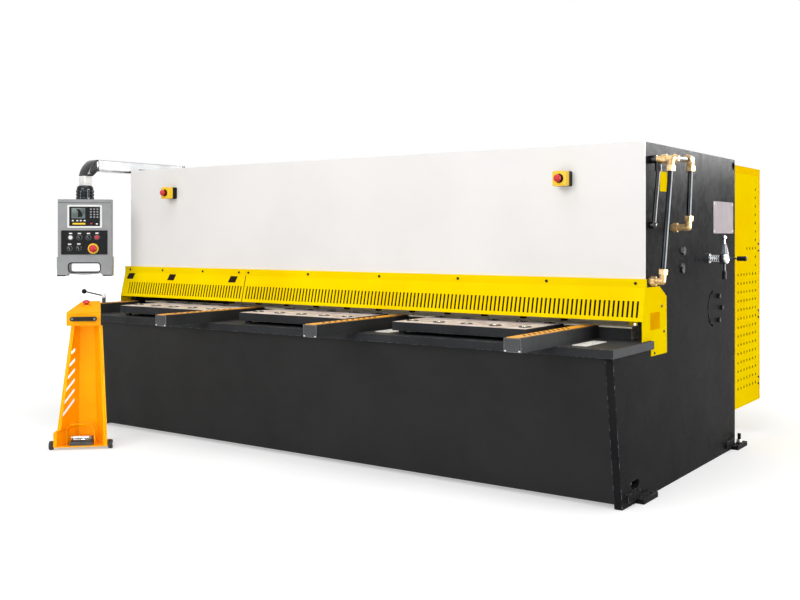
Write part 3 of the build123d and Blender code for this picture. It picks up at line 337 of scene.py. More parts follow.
# %% Finger marks: soft blotches that change the gloss, not the colour
marks, ins, outs = group("finger_marks", [("Vector", VECTOR, 0), ("Size", FLOAT, 14.0)], ["Gloss"])
blotch = noise(marks, ins.outputs["Vector"], ins.outputs["Size"], 5.0, Distortion=0.6)
marks.links.new(spread(marks, blotch, 0.35, 0.7), outs.inputs["Gloss"])
print("groups", [g.name for g in bpy.data.node_groups])

# %% [markdown]
# ## Finishes
# A finish could be one colour and one roughness, but then a large plate looks like paper. Here
# each finish mixes two close tones by a mask, breaks its roughness, and raises a slight bump.
# Colours are written as they are seen on the screen and turned into linear light by a formula.


# %% Finish helpers
def colour(text):
    """Screen colour to linear light: c / 12.92 near black, else ((c + 0.055) / 1.055) to the power 2.4."""
    c = np.array([int(text[i:i + 2], 16) for i in (1, 3, 5)]) / 255
    return (*np.where(c < 0.04045, c / 12.92, ((c + 0.055) / 1.055) ** 2.4), 1.0)


def begin(name):
    """A named finish with its shader, and the object's own coordinates to hang patterns on."""
    material = bpy.data.materials.new(name)
    material.use_nodes = True
    finish[name] = material
    tree = material.node_tree
    return tree, tree.nodes["Principled BSDF"], node(tree, "ShaderNodeTexCoord").outputs["Object"]


def use(tree, shared, where, **values):
    """One of the shared groups with this material's own values."""
    return node(tree, "ShaderNodeGroup", [("Vector", where), *values.items()], node_tree=shared).outputs


def blend(tree, mask, first, second):
    """Two colours mixed by a mask."""
    mix = node(tree, "ShaderNodeMix", [("Factor", mask), (6, first), (7, second)], data_type="RGBA")
    return mix.outputs[2]


def surface(tree, shader, tone, gloss, low, high, bump, distance, height):
    """What every finish ends with: its tone, a broken roughness from low to high, and a bump."""
    tree.links.new(tone, shader.inputs["Base Color"])
    tree.links.new(spread(tree, gloss, 0, 1, low, high), shader.inputs["Roughness"])
    relief = node(tree, "ShaderNodeBump", [("Strength", bump), ("Distance", distance), ("Height", height)])
    tree.links.new(relief.outputs[0], shader.inputs["Normal"])


def painted(name, base, other, rough, stipple, patches, bump, worn, wear,
            dusty="#a8a49c", dust_share=0.15, specular=0.5, edge_radius=0.003):
    """Sprayed metal: two tones by slow patches, bare metal at rubbed edges, dust above, a stippled skin."""
    tree, shader, where = begin(name)
    coat = use(tree, skin, where, Stipple=stipple, Patches=patches)
    edge_mask = use(tree, rubbed, where, Radius=edge_radius)["Mask"]
    dust_mask = use(tree, dust, where)["Mask"]
    tone = blend(tree, coat["Mottle"], colour(base), colour(other))
    tone = blend(tree, calc(tree, "MULTIPLY", dust_mask, dust_share), tone, colour(dusty))
    tone = blend(tree, calc(tree, "MULTIPLY", edge_mask, wear), tone, colour(worn))
    gloss = use(tree, marks, where)["Gloss"]
    surface(tree, shader, tone, gloss, rough - 0.04, rough + 0.08, bump, 0.001, coat["Height"])
    shader.inputs["Specular IOR Level"].default_value = specular


def metal(name, base, other, rough, stretch, scale, bump=0.05, share=1.0):
    """Bare metal: machined lines stretched along one axis change its tone, gloss and height."""
    tree, shader, where = begin(name)
    stretched = node(tree, "ShaderNodeMapping", [("Vector", where), ("Scale", stretch)]).outputs[0]
    cut = use(tree, lines, stretched, Scale=scale)
    gloss = use(tree, marks, where)["Gloss"]
    tone = blend(tree, cut["Streak"], colour(base), colour(other))
    surface(tree, shader, tone, gloss, rough - 0.05, rough + 0.08, bump, 0.0005, cut["Height"])
    shader.inputs["Metallic"].default_value = share


def moulded(name, base, other, rough, grain=600, bump=0.1, specular=0.5):
    """Moulded plastic or rubber: a fine grain, a faint change of tone, and finger marks in its gloss."""
    tree, shader, where = begin(name)
    grains = use(tree, skin, where, Stipple=grain, Patches=12)
    gloss = use(tree, marks, where, Size=30)["Gloss"]
    tone = blend(tree, grains["Mottle"], colour(base), colour(other))
    surface(tree, shader, tone, gloss, rough - 0.05, rough + 0.1, bump, 0.0004, grains["Height"])
    shader.inputs["Specular IOR Level"].default_value = specular


# %% Painted finishes: two tones, roughness, stipple, patches, bump, worn tone and wear, then dust and gloss
finish = {}
painted("frame_paint", "#202022", "#282829", 0.26, 150, 4, 0.5, "#b4b5b7", 0.7,
        dust_share=0.1, specular=0.006, edge_radius=0.005)
painted("bed_paint", "#232323", "#2b2b2b", 0.5, 240, 2, 0.2, "#5d5f62", 0.4, dust_share=0.08, specular=0.12)
painted("deck_paint", "#2b2c2e", "#363739", 0.5, 240, 5, 0.3, "#a2a2a2", 0.8, dust_share=0.06, specular=0.05)
painted("white_paint", "#f0eeec", "#e9e7e5", 0.38, 320, 1.5, 0.06, "#b8b6b3", 0.25, "#d2cfc8", 0.2)
for name, base, other, specular in (
    ("yellow_paint", "#ffe200", "#ffd600", 0.01), ("strip_yellow", "#ffd200", "#ffc800", 0.0),
    ("sheet_yellow", "#ffde00", "#ffd400", 0.0),
):
    painted(name, base, other, 0.36, 300, 3, 0.08, "#9a8330", 0.3, "#e8c840", 0.06, specular)
painted("amber_paint", "#ffb108", "#ffa604", 0.34, 280, 6, 0.10, "#b9802a", 0.3, "#f0bc60", 0.08, 0.05)
painted("motor_paint", "#6c7074", "#7a7e82", 0.42, 300, 9, 0.15, "#a5a7a9", 0.5)
painted("dark_steel", "#2b2c2e", "#38393b", 0.42, 350, 14, 0.15, "#8a8c8e", 0.6, dust_share=0.1)
painted("scale_strip", "#f6ae3a", "#ec9c22", 0.45, 300, 8, 0.08, "#b98b5a", 0.3,
        dust_share=0.1, specular=0.25)

# %% Metals: two tones, roughness, stretch of the machined lines, their scale, bump and share of metal
# table_steel: machined steel lifted to a light cream, painted light for the lit top of the table under the
# guard
metal("table_steel", "#e6dac0", "#f4ead2", 0.5, (0.3, 8, 8), 50, share=0.15)
metal("blade_steel", "#9a9a98", "#b4b4b2", 0.24, (30, 1, 1), 40)
metal("polished_steel", "#c4c7ca", "#e0e2e4", 0.12, (1, 1, 6), 90, 0.02)
metal("ball_steel", "#cfd1d3", "#e6e7e8", 0.1, (1, 1, 1), 120, 0.02)
metal("brass", "#b48c50", "#e0c492", 0.30, (4, 4, 4), 120, 0.06, 0.4)
metal("arm_aluminium", "#d0d2d4", "#dcdee0", 0.45, (12, 0.6, 12), 60, 0.04, 0.05)
metal("pipe_metal", "#2c2e30", "#343638", 0.10, (1, 1, 1), 60, 0.01)
metal("zinc", "#a9a8a2", "#c9c7bf", 0.34, (2, 2, 2), 140)
metal("label_metal", "#b9b4b2", "#d0cbc8", 0.38, (1, 18, 1), 70, 0.03)

# %% Plastics, rubber and printed plates: two tones, roughness, grain, bump and specular level
for row in (
    ("yellow_plastic", "#ffd200", "#f6c400", 0.3),
    ("red_plastic", "#d3181c", "#bb0f14", 0.28),
    ("black_plastic", "#17181a", "#1f2022", 0.36, 600, 0.1, 0.1),
    ("grey_plastic", "#8d8f91", "#97999b", 0.5, 500, 0.25),
    ("black_rubber", "#1e1f20", "#2a2b2c", 0.7, 400, 0.4),
    # tray_top: pale pinkish tones and light patches, partly the steel's own tone and partly painted
    # reflection
    ("tray_top", "#a89a9e", "#f2e8ea", 0.34, 90, 0.35, 0.25),
    ("pipe_black", "#0c0d0e", "#141517", 0.17, 500, 0.0),
    # hole_painted_shade: near-black painted shade for holes, slots and the guard's lining, where only
    # darkness shows
    ("hole_painted_shade", "#060606", "#0b0b0b", 0.8, 300, 0.1, 0.0),
    ("patch_amber", "#f4b000", "#e8a400", 0.5, 300, 0.05, 0.0),
    # beam_painted_shade: dark maroon-brown painted shade, tinted by light bounced off the yellow guard
    ("beam_painted_shade", "#1e0f08", "#2b170c", 0.6, 300, 0.1, 0.02),
    ("guard_plate", "#1d1510", "#2a1f18", 0.5, 300, 0.1, 0.05),
    ("collar_grey", "#3c3e41", "#5a5d60", 0.3, 500, 0.1, 0.3),
    ("rod_black", "#202123", "#2c2d2f", 0.3, 500, 0.05),
    # steel_painted_highlight: near-white non-metal for bare or chromed steel parts; the white is a painted
    # highlight, not their colour
    ("steel_painted_highlight", "#e4e2de", "#fbfaf8", 0.3, 200),
    # cream_plate: a light cream, painted light for the lit gap under the guard where the stop plate shows
    ("cream_plate", "#e8d8b8", "#f4e8cc", 0.5, 300),
    ("tick_brown", "#6a2004", "#561804", 0.5),
    ("grey_label", "#b6abb0", "#c8bec2", 0.5, 300, 0.05, 0.01),
    ("white_plastic", "#f0f0ee", "#e4e4e2", 0.35),
    ("screen", "#46514f", "#8f9c9a", 0.2, 900, 0.02, 0.1),
):
    moulded(*row)
print("finishes", len(finish))

# %% Finishes onto the CAD nodes
# The hold-down beam, seen through the guard's slots, gets beam_painted_shade: painted shade with a yellow
# bounce tint.
special = {
    "hydraulic_pipes": "pipe_metal", "drain_pipe": "pipe_black", "handle_boss": "polished_steel",
    # The foot pedal's bare steel is shown near-white with steel_painted_highlight: a painted highlight.
    "hold_down_beam": "beam_painted_shade", "foot_pedal": "steel_painted_highlight", "guard_end_plates": "sheet_yellow",
    "plugs_and_bolts": "black_plastic",
}
for row in frame["record"]["subparts"]:
    cad = nodes[row["node"]]
    cad.data.materials.clear()
    cad.data.materials.append(finish[special.get(row["node"], row["material_slot"])])

# %% [markdown]
# ## Perforated rear guard
# The guard behind the machine is folded sheet with rows of punched holes. Holes could be painted
# on, but the picture shows the dark inside through them, and from behind one looks into the
# machine. So the sheet is a lattice: every cell with a hole is a square whose middle is cut out.
# Just inside each side panel a black sheet is painted shade, for the dark inside seen through the holes.


# %% Perforated sheet
def perforated(edges_a, edges_b, holes, radius, thickness, sides=12):
    """A flat sheet cut into cells by two lists of edges, with a round hole in each cell that is marked.

    A marked cell keeps its four corners and gets a ring of points at its middle; triangles join each
    corner to its quarter of the ring. The same again on the back, and walls inside the holes.
    """
    rows, columns = len(edges_b), len(edges_a)
    grid = np.stack(np.meshgrid(edges_a, edges_b), axis=-1).reshape(-1, 2)
    number = np.arange(rows * columns).reshape(rows, columns)
    cells = np.stack([number[:-1, :-1], number[:-1, 1:], number[1:, 1:], number[1:, :-1]], axis=-1)
    plain, cut = cells[~holes], cells[holes]
    middle = (grid[cut[:, 0]] + grid[cut[:, 2]]) / 2
    rim = (middle[:, None] + circle(radius, sides, -3 * pi / 4)[None]).reshape(-1, 2)
    first = len(grid) + np.arange(len(cut))[:, None] * sides
    quarter = sides // 4
    k, following = np.arange(sides), (np.arange(sides) + 1) % sides
    corner = ((k + quarter // 2) // quarter) % 4
    fans = np.stack([cut[:, corner], first + following, first + k], axis=-1)
    after = (np.arange(4) * quarter + quarter - quarter // 2) % sides
    gaps = np.stack([cut, np.roll(cut, -1, axis=1), first + after], axis=-1)
    flat = np.concatenate([grid, rim])
    total = len(flat)
    front_and_back = raised(np.stack([flat, flat]), np.array([thickness, 0])).reshape(-1, 3)
    triangles = np.concatenate([fans.reshape(-1, 3), gaps.reshape(-1, 3)])
    outer = np.concatenate([number[0], number[1:, -1], number[-1, -2::-1], number[-2:0:-1, 0]])
    wall = np.stack([outer, np.roll(outer, -1), np.roll(outer, -1) + total, outer + total], axis=1)
    bore = np.stack([first + k, first + following, first + following + total, first + k + total], axis=-1)
    return front_and_back, [
        plain, plain[:, ::-1] + total, triangles, triangles[:, ::-1] + total, wall, bore.reshape(-1, 4),
    ]


def cell_edges(low, holes, high, pitch):
    """Cell edges halfway between the holes, with the sheet's own two edges outside them."""
    return np.array([low, *(holes - pitch / 2), holes[-1] + pitch / 2, high])


# %% Side and back panels
side_low, side_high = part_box("rear_guard_sides")
pitch_level, pitch_z, hole_radius, sheet = 0.062, 0.054, 0.0098, 0.001
edges_y = cell_edges(side_low[1], 0.802 + pitch_level * np.arange(7), side_high[1], pitch_level)
edges_z = cell_edges(side_low[2], 0.345 + pitch_z * np.arange(24), side_high[2], pitch_z)
punched = np.zeros((len(edges_z) - 1, len(edges_y) - 1), bool)
punched[1:15, 1:8] = True
punched[15:25, 7] = True
punched[17, 4:8] = True
right = perforated(edges_y, edges_z, punched, hole_radius, sheet)
left = perforated(-edges_y[::-1], edges_z, punched[:, ::-1], hole_radius, sheet)
sides = build("rear_guard_side_panels", join(
    place(right, [side_high[0] - sheet, 0, 0], "right"), place(left, [side_low[0] + sheet, 0, 0], "left"),
), "sheet_yellow")
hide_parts("rear_guard_sides")
# A black sheet just inside each side panel: painted shade for the machine's dark inside behind the holes.
shade_sheet = slab(0.446, 1.408, 0.002, 2, (0, 0), (0, 0.0012))
shade_lining = [place(shade_sheet, [s * (side_high[0] - 0.0028), 1.002, 0.974], name) for s, name in SIDES]
build("rear_guard_shade_lining", join(*shade_lining), "hole_painted_shade")

back_low, back_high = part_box("rear_guard_back")
bay, count, margin = (back_high[0] - back_low[0]) / 3, 18, 0.001
punched_bay = np.zeros((len(edges_z) - 1, count + 2), bool)
punched_bay[1:15, 1:-1] = True
punched_bay[17, 1:5] = punched_bay[17, -5:-1] = True
punched_bay[15:25, 1] = punched_bay[15:25, -2] = True
bays = []
for low_x in back_low[0] + np.arange(3) * bay:
    hole_x = low_x + (bay - (count - 1) * pitch_level) / 2 + pitch_level * np.arange(count)
    edges_x = cell_edges(low_x + margin, hole_x, low_x + bay - margin, pitch_level)
    one_bay = perforated(-edges_x[::-1], edges_z, punched_bay[:, ::-1], hole_radius, sheet)
    bays.append(place(one_bay, [0, back_high[1] - sheet, 0], "back"))
back = build("rear_guard_back_panels", join(*bays), "sheet_yellow")
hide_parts("rear_guard_back")
print("holes on each side", int(punched.sum()), "and on the back", 3 * int(punched_bay.sum()))

# %% [markdown]
# ## Screws and folded strips
# Screws hold every sheet. They could be decals, but their heads catch light, so each is a low
# domed pad with a socket. One array places a whole row of them.


# %% Fastener shapes
def socket_screw(radius, height):
    """A button head with a hexagonal socket: a dome, then a step down into the socket."""
    return turned([
        (radius, 0), (radius, height * 0.35), (radius * 0.86, height * 0.8), (radius * 0.6, height),
        (radius * 0.45, height), (radius * 0.45, height * 0.4), (0, height * 0.4),
    ], 18)


def hex_bolt(across, height):
    """A hexagon head with a chamfered top."""
    return pad(circle(across / 2 / cos(pi / 6), 6), [(0, 0), (0, height * 0.85), (across * 0.06, height)])


# %% Screws of the guards
guard_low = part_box("finger_guard_right")[0]
end_low, end_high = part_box("guard_end_plates")
guard_front = -0.72
guard_slope = ((1, 0, 0), (0, 0.234, 0.972))
guard_screws_x = (-1.90, -1.565, -1.174, -0.841, -0.757, -0.257, 0.286, 0.825, 1.367, 1.855)
front_screws = place(socket_screw(0.008, 0.004), [(x, guard_front, 1.052) for x in guard_screws_x], "front")
end_yz = ((-0.50, 0.93), (-0.47, 0.80), (-0.60, 0.70))
end_screws = [
    place(socket_screw(0.0075, 0.004), [(x, y, z) for y, z in end_yz], name)
    for x, name in ((end_high[0], "right"), (end_low[0], "left"))
]
build("guard_screws", join(front_screws, *end_screws), "black_plastic")
rear_z = (1.236, 1.193, 0.806, 0.763, 0.375, 0.332)
rear_screws = [
    place(hex_bolt(0.013, 0.006), [(s * side_high[0], 1.232, z) for z in rear_z], name) for s, name in SIDES
]
build("rear_guard_screws", join(*rear_screws), "black_plastic")
joint_x = (guard_low[0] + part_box("finger_guard_left")[1][0]) / 2
joint = slab(0.0045, 0.168, 0.001, 2, (0, 0), (0, 0.0012))
joint_at = [joint_x, guard_front - 0.0205, 0.949]
build("guard_joint", place(joint, joint_at, *guard_slope), "guard_plate")

# %% Folded strips on the rear guard
strip_low = side_high[2] - 0.043
level_strip = slab(side_high[1] - side_low[1] - 0.004, 0.041, 0.002, 2, (0, 0), (0, 0.0012), (0.001, 0.002))
upright_strip = slab(0.034, strip_low - side_low[2] - 0.004, 0.002, 2, (0, 0), (0, 0.0008), (0.0008, 0.0014))
strips = []
for s, name in SIDES:
    x = s * side_high[0]
    strips.append(place(level_strip, [x, (side_low[1] + side_high[1]) / 2, strip_low + 0.0215], name))
    strips.append(place(upright_strip, [x, side_high[1] - 0.019, (strip_low + side_low[2]) / 2], name))
build("rear_guard_strips", join(*strips), "strip_yellow")
print("screws on the guard", len(guard_screws_x), "and rear", 2 * len(rear_z))

# %% [markdown]
# ## Plates on the sheet metal
# The machine carries a few small plates, here without words: a grey one and a yellow one on the
# side frame, an amber one on the guard's end, three dark slanted ones on the guard. A pad with a
# hair of thickness and a soft edge is enough, and its shadow line shows. The lifting hole beside
# the grey plate is a flat ring round a black disc, because the frame behind it is solid; ring and
# disc are black as painted shade for the dark inside of the hole.


# %% Plates
def thin_plate(width, height):
    """A plate 1.2 mm thick with a broken edge."""
    return slab(width, height, 0.004, 3, (0, 0), (0, 0.00072), (0.0006, 0.0012))


frame_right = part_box("side_frame_right")[1][0]
plate_at = np.array([frame_right, 0.5135, 1.395])
rivets = [plate_at + [0.0012, a * 0.172, b * 0.08] for a in (-1, 1) for b in (-1, 1)]
hole = join(ring([(0.0175, 0), (0.021, 0), (0.021, 0.001), (0.0175, 0.0015)], 36),
            pad(circle(0.0180, 36), [(0, 0), (0, 0.0006)]))
slant = np.array([(-0.040, -0.021), (0.024, -0.021), (0.040, 0.021), (-0.024, 0.021)])
slanted_at = [[x, guard_front - 0.0062, 1.006] for x in (-1.886, -1.468, -0.889)]
for name, part, at, look, slot in (
    ("rating_plate", thin_plate(0.369, 0.186), plate_at, "grey_label", "arm_aluminium"),
    # The lifting hole is a black ring and disc: painted shade for the dark inside of a hole.
    ("lifting_hole", hole, [frame_right, 0.703, 1.710], "hole_painted_shade", "black_plastic"),
    ("rating_plate_rivets", socket_screw(0.0045, 0.002), rivets, "zinc", "dark_steel"),
    ("side_plate", thin_plate(0.099, 0.102), [frame_right, -0.4675, 1.564], "sheet_yellow", "yellow_plastic"),
    ("end_plate_patch", thin_plate(0.129, 0.085), [end_high[0], -0.592, 0.861], "patch_amber", "amber_paint"),
):
    build(name, place(part, at, "right"), look)
slanted = place(pad(slant, [(0, 0), (0, 0.0006), (0.0006, 0.001)]), slanted_at, *guard_slope)
build("guard_patches", slanted, "guard_plate")
print("plates placed on x", round(frame_right, 4))

# %% [markdown]
# ## Stop boxes on the cover
# Two emergency stop boxes hang on the cover: a dark base, a yellow lid and a red mushroom. The
# CAD node is one block, so it is replaced by a base pad and a lid pad with a real parting line.
# The mushroom is turned: a neck, then a cap whose profile is a quarter of an ellipse.


# %% Stop boxes and mushrooms
def mushroom(radius, height):
    """A turned button: neck, underside of the cap, then an elliptic dome."""
    bow = np.linspace(0, pi / 2, 8)
    dome = np.stack([radius * np.cos(bow), height * 0.62 + height * 0.38 * np.sin(bow)], axis=1)
    neck = np.array([(0.55, 0), (0.5, 0.35), (0.86, 0.42), (0.98, 0.5)]) * [radius, height]
    return turned(np.concatenate([neck, dome]), 36)


boxes_low, boxes_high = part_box("stop_boxes")
box_size, box_shift, screw_inset = 0.078, 0.014, 0.031
box_x = np.array([boxes_low[0] + box_size / 2, boxes_high[0] - box_size / 2]) - box_shift
box_z = (boxes_low[2] + boxes_high[2]) / 2
depth = boxes_high[1] - boxes_low[1] + 0.004
half = depth / 2
at = np.array([[x, boxes_high[1], box_z] for x in box_x])
front_at = at - [0, depth, 0]
base = slab(box_size, box_size, 0.008, 4, (0, 0), (0, half - 0.001), (0.001, half))
build("stop_box_bases", place(base, at, "front"), "black_plastic")
lid = slab(box_size, box_size, 0.008, 4,
           (0.0012, 0), (0, 0.001), (0, half - 0.004), (0.001, half - 0.001), (0.004, half))
lids = build("stop_box_lids", place(lid, at - [0, half, 0], "front"), "yellow_plastic")
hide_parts("stop_boxes")
button_low, button_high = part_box("stop_buttons")
collars = place(ring([(0.013, 0), (0.024, 0), (0.023, 0.003), (0.013, 0.004)], 36), front_at, "front")
build("stop_box_collars", collars, "black_plastic")
cap = mushroom(0.020, button_high[1] - button_low[1] + 0.010)
buttons = build("stop_mushrooms", place(cap, front_at, "front"), "red_plastic")
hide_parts("stop_buttons")
corners = [(a * screw_inset, 0, b * screw_inset) for a in (-1, 1) for b in (-1, 1)]
lid_screws = [spot + corner for spot in front_at for corner in corners]
build("stop_box_screws", place(socket_screw(0.003, 0.0015), lid_screws, "front"), "zinc")
print("stop boxes at x", box_x.round(3))

# %% [markdown]
# ## Ball-transfer trays
# Each tray carries steel balls in cups, so that a heavy sheet rolls over it. A ball could be one
# sphere in a hole; in the picture one sees a bright collar round each, so a unit is a pressed cup
# in a dark flange, and a ball that stands a few millimetres out of it. The tray's top is bare
# steel; its top sheet has a pale pinkish tone with light patches, partly the steel's own tone and
# partly painted reflection, and its folded sides are painted.

# %% Ball units
tray_low, tray_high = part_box("ball_trays")
unit_low, unit_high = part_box("ball_units")
tray_left, tray_middle, tray_top = np.array([-1.565, -0.484, 0.640]), 0.4, tray_high[2]
columns = (np.arange(5) - 2) * 0.17 + tray_middle
rows_y = (unit_low[1] + 0.022, unit_high[1] - 0.022)
places = np.array([[x + c, y, tray_top] for x in tray_left for y in rows_y for c in columns])
ball_radius = 0.015
bow = np.linspace(-0.35, pi / 2, 10)
ball_middle = unit_high[2] - tray_top - ball_radius
ball = turned(np.stack([ball_radius * np.cos(bow), ball_middle + ball_radius * np.sin(bow)], axis=1), 20)
cup = ring([
    (0.0155, 0), (0.0225, 0), (0.0225, 0.0012), (0.019, 0.0036), (0.0163, 0.0042), (0.0156, 0.002),
], 24)
flange_top = 0.0048
flange = ring([
    (0.0235, 0), (0.0325, 0), (0.0325, 0.003), (0.0305, flange_top), (0.0255, flange_top), (0.0235, 0.003),
], 28)
units = build("ball_transfer_units", place(ball, places, "top"), "ball_steel")
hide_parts("ball_units")
build("ball_cups", place(cup, places, "top"), "ball_steel")
build("ball_flanges", place(flange, places, "top"), "black_rubber")
round_flange = [np.array([0.028 * cos(a), 0.028 * sin(a), flange_top]) for a in (0.6, 2.7, 4.8)]
screws_at = [p + r for p in places for r in round_flange]
build("flange_screws", place(socket_screw(0.004, 0.0018), screws_at, "top"), "ball_steel")
tray_y = (tray_low[1] + tray_high[1]) / 2
tray_length = tray_high[1] - tray_low[1] - 0.006
tray_sheet = slab(0.794, tray_length, 0.004, 3, (0, 0), (0, 0.0004), (0.0004, 0.0007))
tops = place(tray_sheet, [(x + tray_middle, tray_y, tray_top) for x in tray_left], "top")
# The tray tops' pale tone and light patches are partly the steel's own tone and partly painted reflection.
build("tray_tops", tops, "tray_top")
print("ball units", len(places))

# %% Skin on the table's front, plates on the deck in near-white as a painted highlight, and the back gauge's stop plate in cream as painted light
deck_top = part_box("deck_plate")[1][2]
table_low, table_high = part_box("table_bar")
skin_length = table_high[0] - table_low[0] - 0.001
front_skin = slab(skin_length, 0.057, 0.002, 2, (0, 0), (0, 0.0005), (0.0005, 0.001))
skin_at = [0, table_low[1], table_low[2] + 0.0285]
build("table_front_skin", place(front_skin, skin_at, "front"), "deck_paint")
# The rest plates are bare steel shown near-white: a painted highlight.
rest_plates = [
    place(slab(width, 0.24, 0.006, 3, (0, 0), (0, 0.0022), (0.0008, 0.003)), [x, y, deck_top], "top")
    for x, y, width in ((1.715, -0.95, 0.075), (0.548, -0.93, 0.10))
]
build("rest_plates", join(*rest_plates), "steel_painted_highlight")
gauge_low, gauge_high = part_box("back_gauge")
# The stop plate's cream is painted light for the lit gap under the guard.
stop_plate = box((gauge_low[0], -0.0835, 0.785), (gauge_high[0], -0.0805, 0.94))
build("gauge_stop_plate", stop_plate, "cream_plate")
print("rest plates", len(rest_plates))

# %% [markdown]
# ## Scales on the support arms
# An orange strip on each arm has dark marks that slant across it at equal steps. They are thin
# pads, laid down by one array of places. Each arm's end has a rim, a cap and two small pads that
# are painted highlights.

# %% Scale marks and arm ends
strip_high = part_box("scale_strips")[1][2]
support_end, squaring_end = (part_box(name)[0][1] for name in ("support_arms", "squaring_arm"))
arm_ends = [(-0.714, support_end), (0.410, support_end), (1.589, support_end), (-1.85, squaring_end)]
mark_steps = 0.11 + 0.05 * np.arange(10)
marks_at = [[x, y + s, strip_high] for x, y in arm_ends for s in mark_steps if y + s < guard_front]
tick_line = [(0.021, -0.036), (0.021, -0.016), (-0.021, 0.036), (-0.021, 0.016)]
tick = pad(tick_line, [(0, 0), (0, 0.0003), (0.0003, 0.0005)])
build("scale_marks", place(tick, marks_at, "top"), "tick_brown")
ends = [[x, y, 0.7975] for x, y in arm_ends]
# Two near-white pads at the lower corners of each arm end: painted highlights.
highlights_at = [[x + a * 0.036, y, 0.7715] for x, y in arm_ends for a in (-1, 1)]
rim = slab(0.088, 0.063, 0.004, 3, (0, 0), (0, 0.0006), (0.0004, 0.001))
corner_highlight = slab(0.010, 0.006, 0.002, 2, (0, 0), (0, 0.0022), (0.0008, 0.003))
end_cap = slab(0.0845, 0.0595, 0.004, 3, (0, 0), (0, 0.0012), (0.001, 0.002))
for name, part, at, look, slot in (
    ("arm_end_rims", rim, ends, "motor_paint", "deck_paint"),
    ("arm_corner_highlights", corner_highlight, highlights_at, "steel_painted_highlight", "polished_steel"),
    ("arm_end_caps", end_cap, ends, "dark_steel", "deck_paint"),
):
    build(name, place(part, at, "front"), look)
print("scale marks", len(marks_at))

# %% [markdown]
# ## Control pendant
# The pendant has a display unit with a keypad above, and a black plate with push buttons and
# selector switches below. All of it lies in the pendant's own plane, which is turned to the
# operator, so its parts are given as across and up in that plane, and out from its face.

# %% Pendant plane
turn = radians(44)
across, out = np.array([cos(turn), sin(turn), 0]), np.array([sin(turn), -cos(turn), 0])
swivel_x, swivel_y = -1.963, -1.058
face_middle = np.array([swivel_x, swivel_y, 0]) + 0.004 * across + 0.055 * out


def on_pendant(name, part, spots, look):
    """A part at several spots: across from the pendant's middle, up from the floor, out of its face."""
    where = [face_middle + across * a + UP * z + out * h for a, z, h in spots]
    return build(name, place(part, where, across, UP), look, "pendant_body")


def pendant_pad(name, width, height, a, z, h, thickness, look, radius=0.003, edge=0.0008):
    """One raised pad on the pendant's face."""
    part = slab(width, height, radius, 4, (0, 0), (0, thickness - edge), (edge, thickness))
    return on_pendant(name, part, [(a, z, h)], look)


# %% Display unit
glass = 0.0038
bezel = pendant_pad("display_bezel", 0.228, 0.156, 0.002, 1.421, 0, 0.003,
                    "white_plastic", 0.008)
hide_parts("pendant_panels")
pendant_pad("display_glass", 0.202, 0.132, 0.002, 1.421, 0.003, 0.0008, "black_plastic")
pendant_pad("display_lcd", 0.090, 0.070, -0.039, 1.442, glass, 0.0004, "screen",
            0.001, 0.0002)
image = [(-0.012, -0.026), (0.018, -0.026), (0.022, -0.008), (0.002, 0.026), (-0.022, 0.030), (-0.008, 0.006)]
on_pendant("screen_image", pad(image, [(0, 0), (0.0001, 0.0002)]), [(-0.032, 1.442, 0.0042)],
           "black_plastic")
keys_at = [(a, z, glass) for a in (0.043, 0.065, 0.086) for z in (1.470, 1.452, 1.434, 1.416)]
key = slab(0.012, 0.010, 0.002, 3, (0, 0), (0, 0.001), (0.001, 0.0016))
on_pendant("keypad", key, keys_at, "grey_plastic")
small_key = slab(0.013, 0.009, 0.002, 3, (0, 0), (0, 0.0008), (0.0008, 0.0014))
soft_at = [(-0.075, 1.392), (-0.046, 1.392), (-0.023, 1.392), (0.002, 1.392), (0.082, 1.370)]
on_pendant("soft_keys", small_key, [(a, z, glass) for a, z in soft_at], "white_plastic")
pendant_pad("yellow_keys", 0.084, 0.011, -0.035, 1.371, glass, 0.0012,
            "yellow_plastic", 0.002)
on_pendant("red_key", small_key, [(0.046, 1.372, glass)], "red_plastic")

# %% Buttons and selectors
pendant_pad("button_plate", 0.304, 0.164, 0, 1.244, 0, 0.003, "black_plastic", 0.004)
plate_h, drum_h, grip_h = 0.003, 0.009, 0.021
white_at, red_at = [(-0.090, 1.277)], [(0.083, 1.279)]
selectors_at = [(-0.032, 1.277), (0.027, 1.277), (-0.096, 1.204), (-0.036, 1.206)]
all_at = white_at + red_at + selectors_at
slanting = np.array([[cos(0.6), sin(0.6)], [-sin(0.6), cos(0.6)]])
collar = ring([(0.0135, 0), (0.0195, 0), (0.0190, 0.003), (0.0165, 0.0045), (0.0135, 0.0045)])
push_cap = turned([(0.0133, 0), (0.0133, 0.006), (0.0118, 0.0075), (0, 0.008)])
drum = turned([(0.0133, 0), (0.0133, 0.005), (0.012, 0.006), (0, 0.006)])
grip = pad(rounded(0.008, 0.026, 0.0035) @ slanting, [(0, 0), (0.0002, 0.010), (0.0012, 0.012)])
pointer = pad(rounded(0.002, 0.018, 0.0008, 2) @ slanting, [(0, 0), (0.0002, 0.0006)])
tag = slab(0.022, 0.008, 0.001, 2, (0, 0), (0.0003, 0.0006))
for name, part, spots, h, look, slot in (
    ("button_collars", collar, all_at, plate_h, "collar_grey", "dark_steel"),
    ("white_button", push_cap, white_at, plate_h, "white_plastic", "grey_plastic"),
    ("red_button", push_cap, red_at, plate_h, "red_plastic", "red_plastic"),
    ("selector_drums", drum, selectors_at, plate_h, "black_plastic", "black_plastic"),
    ("selector_levers", grip, selectors_at, drum_h, "black_plastic", "black_plastic"),
    ("selector_marks", pointer, selectors_at, grip_h, "white_plastic", "grey_plastic"),
    ("name_tags", tag, [(a, z + 0.028) for a, z in all_at], plate_h, "label_metal", "grey_plastic"),
):
    on_pendant(name, part, [(a, z, h) for a, z in spots], look)
stop_at = [(0.058, 1.202, plate_h)]
